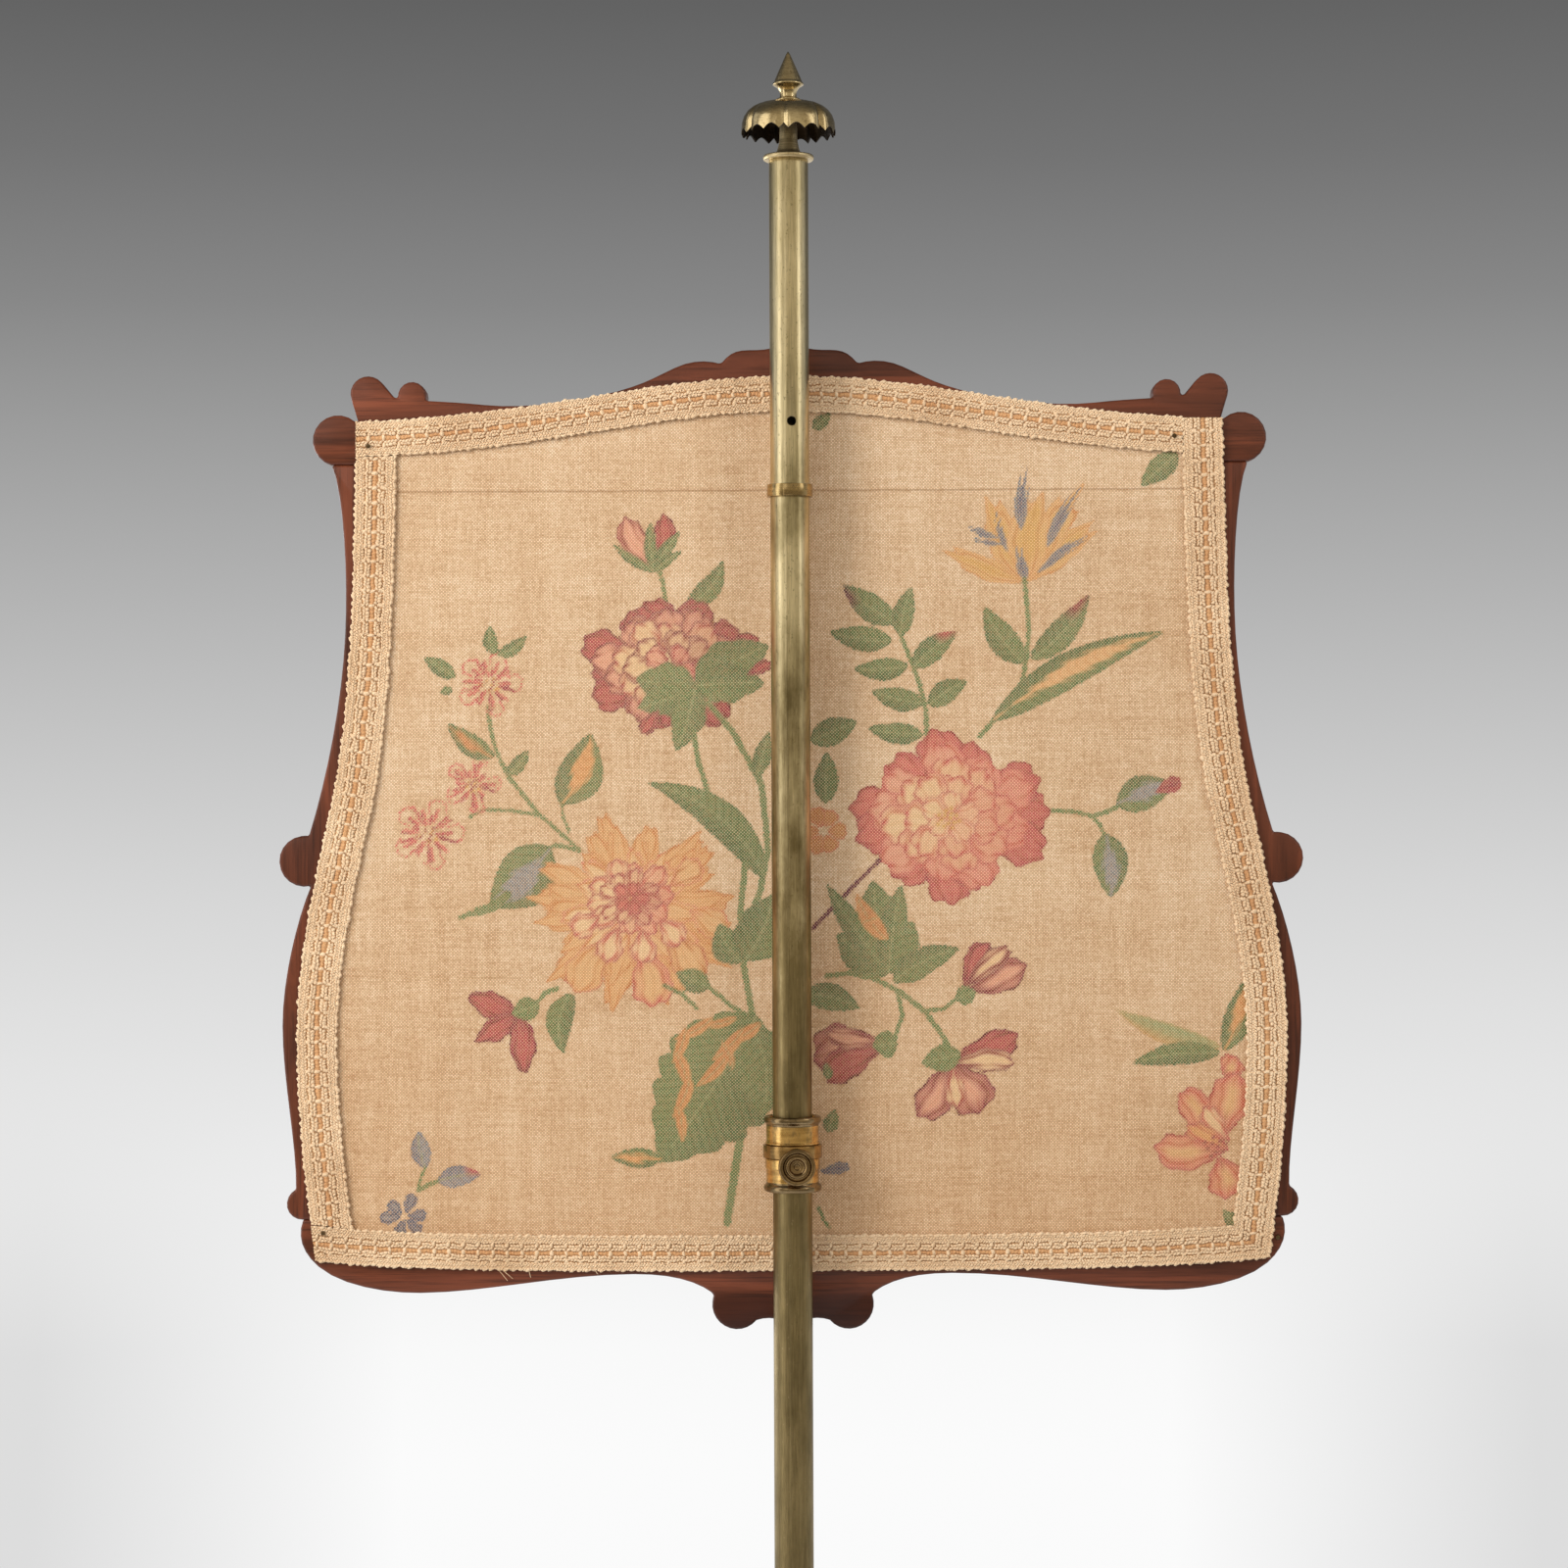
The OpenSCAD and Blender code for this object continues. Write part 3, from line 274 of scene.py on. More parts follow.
def noise(stretch, detail=4.0, roughness=0.55, distortion=0.0, turn=0.0, scale=1.0):
    """Cloudy noise from 0 to 1 on the piece's own coordinates, turned round Z and stretched."""
    place = own()
    if turn:
        turned = node("VectorRotate", Vector=place, Angle=math.radians(turn))
        turned.rotation_type = "Z_AXIS"
        place = turned.outputs["Vector"]
    place = node("Mapping", Vector=place, Scale=stretch).outputs["Vector"]
    return node("TexNoise", Vector=place, Scale=scale, Detail=detail, Roughness=roughness,
                Distortion=distortion).outputs["Fac"]


def relief(surface, tall, strength, deep):
    """Fine relief on a surface."""
    made = node("Bump", Height=tall, Strength=strength, Distance=deep)
    feed(surface, Normal=made.outputs["Normal"])


def mahogany(name, grain, turn=0.0, shaded_heights=None):
    """Old French-polished mahogany, grained along one axis, with painted shade below one height and above
    another.
    """
    made, surface = finish(name)
    coarse = [34.0, 34.0, 34.0]
    fine = [900.0, 900.0, 900.0]
    coarse["XYZ".index(grain)] = 2.6
    fine["XYZ".index(grain)] = 22.0
    figure = noise(coarse, 5.0, 0.6, 1.2, turn, 2.2)
    pores = noise(fine, 3.0, 0.6, 0.0, turn)
    clouds = noise((9.0, 9.0, 9.0), 3.0)
    body = ramp(figure, (0.28, rgb(58, 28, 17)), (0.5, rgb(93, 47, 29)), (0.74, rgb(128, 66, 42)))
    body = blended(ramp(pores, (0.52, black), (0.68, grey(0.55))), body, rgb(38, 18, 12))
    body = blended(ramp(clouds, (0.5, black), (0.8, grey(0.4))), body, rgb(46, 24, 18))
    # Painted shade: the wood darkens below the low height and, less, above the high one.
    if shaded_heights:
        low, high = shaded_heights
        upright = split(own())["Z"]
        painted_shade = sums("MAXIMUM", fitted(upright, low + 0.008, low, 0.0, 0.8),
                    fitted(upright, high, high + 0.015, 0.0, 0.35))
        body = blended(painted_shade, body, rgb(44, 15, 7))
    feed(surface, Base_Color=body, Specular_IOR_Level=0.26, Coat_Weight=0.22, Coat_Roughness=0.16,
         Roughness=ramp(clouds, (0.3, grey(0.3)), (0.75, grey(0.46))))
    relief(surface, pores, 0.25, 0.0002)
    return made


turned_wood = mahogany("turned_mahogany", "Z")
for name in ("column", "drop_finial", "foot_back", "foot_right", "foot_left"):
    dressed(name, "stand", "mahogany", 0.5, turned_wood)
for name, turn in (("leg_back", 90), ("leg_right", -30), ("leg_left", -150)):
    dressed(name, "stand", "mahogany", 0.6, mahogany(name + "_mahogany", "X", turn), corner=48)

# The iron plate that ties the legs under the column: sheet iron cut with three arms, japanned
# black once and now dull, held by three slotted screws.
iron, surface = finish("japanned_iron")
rust = noise((160.0, 160.0, 160.0), 6.0, 0.65)
feed(surface, Metallic=0.7, Roughness=ramp(rust, (0.4, grey(0.42)), (0.7, grey(0.8))),
     Base_Color=ramp(rust, (0.45, rgb(44, 42, 40)), (0.62, rgb(70, 52, 42)), (0.75, rgb(96, 62, 42))))
relief(surface, rust, 0.3, 0.0003)
for name in ("leg_plate", "plate_screws"):
    dressed(name, "stand", "iron", 0.25, iron)
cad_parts["batten_screws"].data.materials[0] = iron

# The pole and its socket: drawn brass tube of 19 mm, stood in a flanged brass socket that three
# screws hold on the column. Handling has kept its upper part pale, and the lower part has gone olive.


def brass(name, bright, dull, stain, shine, lower=None, lines=(60.0, 60.0, 1600.0)):
    """Old brass: a duller film in patches, specks of tarnish, fine lines from its making, rubbed flecks."""
    made, surface = finish(name)
    film = noise((70.0, 70.0, 26.0), 5.0, 0.6)
    specks = noise((700.0, 700.0, 420.0), 3.0, 0.7)
    fine = noise(lines, 3.0, 0.6)
    colour = ramp(film, (0.36, rgb(*bright)), (0.66, rgb(*dull)))
    rough = weighted(shine - 0.1, (film, 0.14), (fine, 0.14))
    if lower:
        low, high, pale, deep = lower
        fade = fitted(split(own())["Z"], low, high, 1.0, 0.0)
        tarnish = ramp(weighted(-0.45, (fade, 1.0), (film, 0.9)), (0.28, black), (0.7, grey(1)))
        colour = blended(tarnish, colour, ramp(film, (0.35, rgb(*pale)), (0.65, rgb(*deep))))
        rough = weighted(rough, (fade, 0.12))
    colour = blended(ramp(specks, (0.6, black), (0.72, grey(0.7))), colour, rgb(*stain))
    colour = blended(ramp(specks, (0.24, grey(0.4)), (0.34, black)), colour, rgb(*bright))
    lined = ramp(fine, (0.32, (0.78, 0.77, 0.75, 1)), (0.68, (1.14, 1.14, 1.12, 1)))
    feed(surface, Base_Color=blended(1.0, colour, lined, "MULTIPLY"), Roughness=rough, Metallic=1.0)
    relief(surface, fine, 0.05, 0.0001)
    return made


pole_brass = brass("pole_brass", (226, 210, 170), (196, 180, 138), (124, 110, 76), 0.27,
                   (0.84, 1.42, (160, 142, 102), (122, 107, 74)), (1500.0, 1500.0, 60.0))
for name, edge in (("pole", 0.3), ("pole_socket", 0.3), ("socket_screws", 0.2)):
    dressed(name, "stand", "brass", edge, pole_brass)

# The finial: a turned plug and stem, a crown pressed from sheet in seven lobes with a scalloped
# rim, and a turned spire that screws down on it. The crown's inside and underside carry painted shade.
finial_brass = brass("finial_brass", (218, 198, 154), (178, 156, 114), (110, 88, 58), 0.19,
                     lines=(300.0, 300.0, 2400.0))
# The stem's brass is rougher and paler than the crown's: the paler colour is painted light.
lit_stem_brass = brass("lit_stem_brass", (236, 216, 176), (206, 186, 144), (124, 100, 68), 0.36)
shaded_inside_brass = brass("shaded_inside_brass", (52, 42, 32), (32, 26, 20), (20, 16, 12), 0.45)
dressed("finial_stem", "stand", "brass", 0.2, lit_stem_brass)
crown = dressed("finial_crown", "stand", "brass", 0.0, finial_brass, shaded_inside_brass, corner=30)
# Faces that look inward or downward get the dark brass: painted shade inside the crown.
for face in crown.data.polygons:
    inward = face.normal.dot((face.center.x, face.center.y, 0)) < 0
    face.material_index = int(inward or face.normal.z < -0.3)
dressed("finial_spire", "stand", "brass", 0.15, finial_brass)

# The collar: a brass shell with rolled rims, gold-lacquered, lined with leather, and clamped by a
# turned thumbscrew that presses a small shoe on the pole.
collar_gold, surface = finish("gold_lacquer")
worn = noise((240.0, 240.0, 130.0), 6.0, 0.62)
streaks = noise((60.0, 60.0, 600.0), 4.0, 0.6)
gilt = ramp(streaks, (0.35, rgb(226, 186, 116)), (0.6, rgb(194, 154, 90)), (0.75, rgb(140, 112, 68)))
gilt = blended(ramp(worn, (0.54, black), (0.72, grey(0.85))), gilt, rgb(92, 76, 58))
feed(surface, Base_Color=gilt, Metallic=1.0, Coat_Weight=0.25,
     Roughness=ramp(worn, (0.35, grey(0.18)), (0.7, grey(0.42))))
relief(surface, worn, 0.18, 0.0002)
rim_brown = brass("rim_brass", (160, 138, 104), (112, 94, 68), (58, 46, 34), 0.18)
collar = dressed("collar_shell", "carriage", "lacquered_brass", 0.15, collar_gold, rim_brown)
collar_low, collar_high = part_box("collar_shell")
rim_h = 4.6 * mm
for face in collar.data.polygons:
    if not collar_low.z + rim_h < face.center.z < collar_high.z - rim_h:
        face.material_index = 1

leather, surface = finish("collar_leather")
grain = noise((700.0, 700.0, 700.0), 5.0)
feed(surface, Roughness=0.7,
     Base_Color=ramp(grain, (0.35, rgb(62, 42, 28)), (0.65, rgb(92, 64, 42))))
relief(surface, grain, 0.4, 0.0003)
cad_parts["collar_liner"].data.materials[0] = leather

screw_brass = brass("screw_brass", (160, 134, 96), (104, 84, 58), (56, 42, 30), 0.17)
dressed("thumbscrew", "screw", "brass", 0.15, screw_brass)
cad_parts["clamp_shoe"].data.materials[0] = screw_brass

# The fittings on the screen: a strap that swivels on the collar and a loose guide ring, both bent
# from brass strip with a plate that is screwed through the cloth into the batten.
strap_brass = brass("strap_brass", (172, 138, 88), (126, 100, 64), (80, 62, 42), 0.2)
dressed("swivel_strap", "screen", "lacquered_brass", 0.2, strap_brass)
ring_brass = brass("ring_brass", (206, 180, 130), (156, 132, 90), (72, 56, 40), 0.17)
dressed("guide_ring", "screen", "brass", 0.2, ring_brass)
dressed("bracket_screws", "screen", "brass", 0.15, screw_brass)

# The frame: two rails and two stiles of mahogany, sawn to shape, dowelled at the corners and
# polished, with the back edges softened by hand. The grain runs along each piece.
# The heights below and above which the frame's mahogany gets painted shade.
frame_shade_heights = (screen_z - 0.254, screen_z + 0.188)
for name, grain in (("top_rail", "X"), ("bottom_rail", "X"), ("left_stile", "Z"), ("right_stile", "Z")):
    dressed(name, "screen", "mahogany", 1.3, mahogany(name + "_mahogany", grain, shaded_heights=frame_shade_heights), steps=3)

# Inside the frame: a pine batten let into both rails, the pine board behind the needlework and the
# dowels. They are planed pine, gone brown with age, and none of them shows.
pine, surface = finish("old_pine")
rings = noise((160.0, 160.0, 6.0), 4.0, 0.6, 0.6)
feed(surface, Roughness=0.65,
     Base_Color=ramp(rings, (0.35, rgb(196, 158, 108)), (0.6, rgb(170, 126, 80))))
relief(surface, rings, 0.2, 0.0003)
for name in ("batten", "panel_board", "corner_dowels"):
    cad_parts[name].data.materials[0] = pine

# The backing cloth: coarse linen in plain weave, block-printed with a faded garden of flowers on
# trailing stems, stretched over the back of the frame and tacked down under the braid.
thread = 0.79 * mm
pulled_thread = 144.6 * mm
cloth_y = 20.0 * mm
cloth_thick = 0.3 * mm
cloth_columns = 164
cloth_rows = 149


def curve(a, b, c, d, steps):
    """Points along a cubic curve from a to d, with both ends."""
    t = np.linspace(0, 1, steps + 1)[:, None]
    a, b, c, d = (np.array(p, float) for p in (a, b, c, d))
    return (1 - t) ** 3 * a + 3 * (1 - t) ** 2 * t * b + 3 * (1 - t) * t ** 2 * c + t ** 3 * d


def joined(*runs):
    """Runs of points put end to end."""
    return np.vstack([runs[0]] + [run[1:] for run in runs[1:]])


cloth_top = curve((0, 200), (70, 200), (120, 181), (212.3, 178.5), 32)
cloth_side = joined(curve((212.3, 178.5), (214, 120), (213.5, 40), (226.6, -14.4), 28),
                    curve((226.6, -14.4), (232.5, -42), (242.8, -85), (242.8, -125), 20),
                    curve((242.8, -125), (242.8, -165), (238, -200), (234, -233), 16))
cloth_bottom = curve((0, -238.6), (120, -238.6), (190, -238), (234, -233), 20)
cloth_tuck = 2.0
cloth_low = -236
cloth_tall = 430


def warped(u, v):
    """Millimetres across and up the cloth for places from -1 to 1 across and 0 to 1 up."""
    up = cloth_low + v * cloth_tall
    for _ in range(4):
        wide = np.interp(-up, -cloth_side[:, 1], cloth_side[:, 0]) - cloth_tuck
        across = u * wide
        low = np.interp(np.abs(across), cloth_bottom[:, 0], cloth_bottom[:, 1]) + cloth_tuck
        high = np.interp(np.abs(across), cloth_top[:, 0], cloth_top[:, 1]) - cloth_tuck
        up = low + v * (high - low)
    return across, up


# The pattern is drawn on a grid of 0.48 mm steps from the cloth's middle, to the right and up.
step = 0.4807
linen_tan = rgb(212, 174, 134)
green = rgb(106, 130, 82)
deep_green = rgb(76, 104, 68)
sage = rgb(156, 164, 116)
crimson = rgb(152, 52, 70)
plum = rgb(108, 38, 66)
rose = rgb(186, 82, 86)
coral = rgb(212, 110, 102)
blush = rgb(227, 164, 138)
cream = rgb(233, 197, 153)
peach = rgb(220, 160, 102)
pale_peach = rgb(224, 176, 124)
amber = rgb(204, 134, 80)
gold = rgb(216, 168, 96)
slate = rgb(92, 100, 122)
mist = rgb(142, 144, 146)
dye = {}


def fresh_cloth(across, up, ground):
    """Bare cloth of one colour at places given in grid steps."""
    dye["x"] = across
    dye["z"] = up
    dye["ink"] = np.tile(np.array(ground[:3]), (len(across), 1))
    dye["cover"] = np.zeros(len(across))
    dye["lines"] = np.zeros((len(across), 2))


def near(middle, reach):
    """The places within reach of a point, with their distances across and up from it."""
    across = dye["x"] - middle[0]
    up = dye["z"] - middle[1]
    found = np.nonzero(across * across + up * up < reach * reach)[0]
    return found, across[found], up[found]


def edged(depth, soft=1.4):
    """How much dye takes at a depth inside a shape's edge."""
    return np.clip(depth / soft + 0.5, 0, 1)


def shade(found, take, colour):
    """Lays a dye as far as it takes. The colour is one for all places, or one for each."""
    tint = np.array(colour)
    tint = tint[:3] if tint.ndim == 1 else tint
    dye["ink"][found] += take[:, None] * (tint - dye["ink"][found])


def lay(found, depth, colour):
    """Fills a shape with dye, a little past its edge on bare cloth, and says where the shape lies."""
    own = np.where(dye["cover"][found] < 0.5, depth > -2.4, edged(depth))
    shade(found, own, colour)
    dye["cover"][found] = np.maximum(dye["cover"][found], edged(depth, 4.0))
    return own


def engrave(found, own, turn, strength):
    """Gives a shape fine cut lines, which follow a turn that grows across them."""
    kept = own > 0.5
    dye["lines"][found[kept], 0] = turn[kept]
    dye["lines"][found[kept], 1] = np.broadcast_to(strength, turn.shape)[kept]


def stem(points, wide=4.0, colour=green):
    """A stalk along a bent line."""
    for start, end in zip(points[:-1], points[1:]):
        run = np.subtract(end, start)
        length = math.hypot(*run)
        found, across, up = near(np.add(start, end) / 2, length / 2 + wide + 2)
        half = length / 2
        along = np.clip((across * run[0] + up * run[1]) / length, -half, half)
        off = np.hypot(across - along * run[0] / length, up - along * run[1] / length)
        lay(found, wide / 2 - off, colour)


def spanned(start, end, wide, bow):
    """The places about a shape from a start to an end, with its length: how far along it each place
    is, from 0 to 1, and how far off its bowed middle line."""
    run = np.subtract(end, start)
    length = math.hypot(*run)
    found, across, up = near(np.add(start, end) / 2, length * 0.62 + wide)
    along = (across * run[0] + up * run[1]) / length / length + 0.5
    off = (up * run[0] - across * run[1]) / length - bow * length * 4 * along * (1 - along)
    return found, along, off, length


def tinted(first, second, share):
    """A colour for each place between two colours."""
    return np.array(first[:3]) + share[:, None] * (np.array(second[:3]) - np.array(first[:3]))


def leaf(start, end, wide, bow=0.0, colour=green, dark=deep_green, heart=None, tip=None, lobes=0):
    """A pointed leaf with cut veins, darker to one side. Heart or tip can be coloured, the edge lobed."""
    found, along, off, length = spanned(start, end, wide, bow)
    t = np.clip(along, 0, 1)
    half = wide / 2 * np.sin(math.pi * t ** 0.8) ** 0.85
    if lobes:
        half = half * (0.87 + 0.15 * np.abs(np.sin(t * lobes * math.pi + 0.3 * np.sign(off))))
    depth = np.where((along > 0) & (along < 1), half - np.abs(off), -3.0)
    own = lay(found, depth, tinted(colour, dark, np.clip(0.35 + off / wide * 1.6, 0, 1) * 0.6))
    shade(found, own * edged(2.2 - depth, 2.0) * 0.3, dark)
    engrave(found, own, along * length * 0.62 - np.abs(off) * 0.5, 0.4)
    if heart:
        inner = half * 0.46 * np.clip(1.25 - np.abs(along - 0.6) * 2.5, 0, 1) - np.abs(off)
        ragged = inner + 1.3 * np.sin(along * length * 0.23 + off * 0.6) + 0.8 * np.cos(off * 1.3)
        shade(found, own * edged(ragged, 4.0) * (depth > 1), heart)
    else:
        shade(found, own * edged(0.8 - np.abs(off), 1.2) * (along < 0.9) * 0.7, sage)
    if tip:
        shade(found, own * np.clip((along - 0.6) * 5, 0, 1) * np.clip(0.5 + off / wide * 3, 0, 1), tip)


def petal(start, end, wide, heart, rim, line=crimson, bow=0.0, pointed=0.0, band=0.4, frill=0.03):
    """A petal with a pale heart that breaks in streaks into a darker rim, shaded at its base."""
    found, along, off, length = spanned(start, end, wide, bow)
    along = along + frill * np.sin(off / wide * 16 + end[0]) * np.clip(along, 0, 1) ** 2
    t = np.clip(along, 0, 1)
    rounded = np.sin(math.pi * t ** 1.5) ** 0.5 * (0.75 + 0.25 * t)
    sharp = np.sin(math.pi * t ** 0.9) ** 0.9
    half = wide / 2 * (rounded + pointed * (sharp - rounded))
    half = half * (1 + 0.07 * np.sin(t * 17 + start[0]))
    depth = np.where((along > 0) & (along < 1), half - np.abs(off), -3.0)
    depth = np.minimum(depth, (1 - along) * length)
    turn = off / np.maximum(half, 2) * 7 + 0.9 * np.sin(along * 8 + end[0])
    inner = np.clip((depth - 1.0 + 2.6 * np.cos(turn)) / (band * wide / 2), 0, 1)
    own = lay(found, depth, tinted(rim, heart, inner))
    shade(found, own * np.clip(1 - along / 0.4, 0, 1) * (0.55 + 0.45 * np.cos(turn)) * 0.8, line)
    shade(found, own * edged(1.8 - depth, 2.2) * (0.15 + 0.55 * t), line)
    engrave(found, own, turn * 1.7, np.clip(1.1 - 0.8 * inner, 0.2, 1))


def blossom(middle, rings, squash=1.0, pointed=0.0, frill=0.03):
    """Rings of petals, the outermost first: count, inner and outer reach, width, heart, rim, line, turn."""
    lit = math.radians(165)
    for count, inner, outer, wide, heart, rim, line, turn in rings:
        for i in range(count):
            angle = math.radians(turn + 360 * i / count + 7 * math.sin(2.3 * i + turn))
            reach = outer * (1 + 0.08 * math.sin(3.7 * i + turn))
            way = np.array([math.cos(angle), math.sin(angle) * squash])
            glow = tinted(heart, rim, np.array([0.3 * (1 - math.cos(angle - lit))]))[0]
            petal(np.add(middle, way * inner), np.add(middle, way * reach), wide, glow, rim, line, 0.0,
                  pointed, 0.36, frill)


def stipple(middle, reach, colour, count, size):
    """Small dabs of dye round a point, in a sunflower's order."""
    for i in range(count):
        angle = 2.4 * i
        far = reach * math.sqrt((i + 0.5) / count)
        found, across, up = near(np.add(middle, (far * math.cos(angle), far * math.sin(angle))), size + 4)
        lay(found, size - np.hypot(across, up), colour)


def star_flower(middle, reach):
    """A small open flower: short red strokes in a ring of five lobes, looped outlines and a bare middle."""
    for i in range(30):
        angle = math.radians(12 * i + 9 * math.sin(4.1 * i))
        lobe = abs(math.sin(2.5 * angle + reach))
        way = np.array([math.cos(angle), math.sin(angle)])
        inner = 0.34 + 0.08 * math.sin(5.3 * i)
        outer = 0.5 + 0.36 * lobe + 0.06 * math.sin(7.7 * i)
        stem([middle + way * reach * inner, middle + way * reach * outer], 2.6, (coral, rose, crimson)[i % 3])
        if i % 6 == 0:
            side = np.array([-way[1], way[0]])
            loop = [middle + way * reach * far + side * reach * off
                    for far, off in ((0.6, 0.22), (0.9, 0.32), (1.08, 0.12), (1.02, -0.14), (0.8, -0.28))]
            stem(loop, 1.6, coral)
    stipple(middle, reach * 0.28, gold, 6, 2.0)
    stipple(middle, reach * 0.26, crimson, 5, 1.1)


def each(draw, *rows):
    """Draws one kind of shape for each row of its measures."""
    for row in rows:
        draw(*row)


def left_spray():
    """The trailing stem at the left, with its open flowers, bud and leaves."""
    each(stem, ([(-309, 80), (-306, 55), (-300, 33), (-287, 7), (-257, -30), (-215, -67)],),
         ([(-327, -32), (-314, -25), (-285, -26), (-257, -31)], 3.5))
    for middle, reach in (((-307, 103), 31), ((-325, 0), 27), ((-370, -50), 34)):
        star_flower(middle, reach)
    each(leaf, ((-342, 110), (-374, 131), 17), ((-345, 99), (-358, 94), 9),
         ((-301, 133), (-306, 163), 15, 0.1), ((-299, 133), (-269, 153), 14, -0.1))
    leaf((-303, 28), (-350, 63), 23, 0.06, heart=amber)
    leaf((-289, 10), (-268, 36), 15, -0.05)
    stem([(-234, -20), (-232, -34), (-227, -47)], 3)
    leaf((-234, -20), (-204, 53), 46, -0.08, heart=peach)
    stem([(-215, -67), (-240, -61), (-258, -70)], 4)
    leaf((-246, -64), (-308, -124), 60, 0.06, heart=mist)
    each(stem, ([(-290, -112), (-304, -124), (-320, -129)], 9),
         ([(-316, -128), (-328, -131), (-338, -135)], 5))


def peony():
    """The plum-coloured peony with its bud above and its leaves below."""
    middle = (-122, 122)
    stem([(-135, 222), (-130, 206), (-127, 186)], 4)
    each(petal, ((-138, 220), (-170, 272), 32, blush, crimson, crimson, 0.06, 0.3),
         ((-136, 226), (-128, 276), 24, rose, crimson, plum, -0.08, 0.3))
    for end, wide in (((-142, 268), 13), ((-112, 258), 14), ((-110, 238), 10), ((-181, 246), 10)):
        leaf((-138, 217), end, wide, 0.05)
    leaf((-105, 183), (-68, 228), 23, -0.12)
    blossom(middle, [(12, 34, 88, 42, rose, crimson, plum, 8), (10, 26, 76, 40, blush, crimson, plum, 24),
                     (9, 16, 62, 36, cream, rose, plum, 10), (7, 8, 46, 32, cream, crimson, plum, 34),
                     (4, 2, 28, 26, blush, rose, plum, 60)], 0.76, 0.0, 0.03)
    for end, wide in (
            ((-158, 108), 46), ((-156, 78), 38), ((-117, 34), 36), ((-22, 142), 52), ((-26, 103), 42)):
        leaf((-97, 100), end, wide, 0.03, lobes=3)
    each(petal, ((-134, 76), (-152, 52), 18, rose, crimson, plum),
         ((-44, 112), (-20, 124), 14, rose, crimson, plum))
    each(stem, ([(-99, 53), (-95, 25), (-84, -10), (-72, -40)], 5),
         ([(-84, 83), (-58, 52), (-37, 13), (-30, 0), (-26, -40), (-24, -67), (-32, -110), (-47, -150)], 6))
    each(leaf, ((-35, 7), (-22, 54), 18), ((-26, -96), (-146, 2), 36, -0.12))


def dahlia():
    """The golden dahlia and the stems, leaves and crimson flower about it."""
    middle = (-160, -130)
    stem([(-239, -208), (-252, -212), (-262, -225)], 4)
    blossom(middle, [(16, 22, 106, 30, pale_peach, peach, amber, 12),
                     (14, 16, 90, 28, pale_peach, peach, amber, 28),
                     (12, 8, 72, 28, cream, peach, coral, 5)], 0.92, 0.7, 0.06)
    each(petal, ((-150, -165), (-138, -226), 46, pale_peach, coral, rose),
         ((-192, -158), (-222, -210), 44, pale_peach, peach, rose),
         ((-128, -150), (-92, -196), 40, pale_peach, amber, rose),
         ((-104, -128), (-66, -150), 34, pale_peach, peach, coral),
         ((-124, -104), (-92, -80), 30, pale_peach, amber, coral))
    blossom((-164, -116), [(10, 10, 46, 26, cream, coral, crimson, 10),
                           (8, 6, 34, 20, cream, rose, crimson, 30),
                           (5, 1, 20, 16, coral, rose, crimson, 0)], 0.86)
    for start, end in (
            ((-196, -134), (-224, -150)), ((-178, -146), (-190, -180)), ((-152, -148), (-150, -182)),
            ((-134, -138), (-112, -162))):
        petal(start, end, 30, cream, coral, crimson)
    for end, wide in (((-331, -214), 28), ((-323, -261), 25), ((-274, -295), 28)):
        petal((-279, -233), end, wide, rose, crimson, plum, 0.03, 0.8)
    leaf((-258, -224), (-286, -234), 24, dark=green)
    leaf((-225, -212), (-233, -274), 28, -0.14)


def broad_leaves():
    """The big veined leaf by the pole with the stems that gather there."""
    each(stem, ([(-47, -80), (-52, -130), (-50, -180), (-40, -237)], 6),
         ([(-130, -205), (-112, -214), (-97, -228)], 4), ([(-84, -207), (-62, -226), (-40, -240)], 4))
    leaf((-84, -207), (-118, -192), 24)
    leaf((-50, -182), (-74, -142), 34, 0.1)
    leaf((-48, -180), (-18, -112), 56, -0.06, lobes=2)
    stem([(-49, -337), (-58, -390), (-67, -447)], 8)
    leaf((-36, -236), (-136, -386), 126, 0.02, lobes=7)
    leaf((-42, -246), (-30, -340), 66, 0.1, lobes=4)
    for start, end, wide in (
            ((-56, -238), (-92, -246), 9), ((-80, -238), (-120, -260), 11),
            ((-108, -248), (-122, -284), 12), ((-120, -272), (-106, -312), 13),
            ((-104, -298), (-122, -340), 13), ((-118, -328), (-112, -366), 11),
            ((-32, -244), (-64, -262), 13), ((-50, -250), (-82, -282), 14), ((-66, -276), (-98, -308), 13),
            ((-72, -262), (-60, -292), 9)):
        leaf(start, end, wide, 0.06, amber, peach)
    leaf((-134, -382), (-186, -380), 20, heart=peach)
    stem([(-382, -413), (-379, -400), (-375, -390)], 3)
    leaf((-375, -390), (-381, -352), 20, 0.05, mist, slate)
    stem([(-382, -413), (-372, -408), (-360, -403)], 4)
    leaf((-362, -404), (-318, -397), 22, 0.05, mist, slate, tip=rose)
    blossom((-396, -440), [(6, 3, 24, 14, mist, slate, slate, 10)])


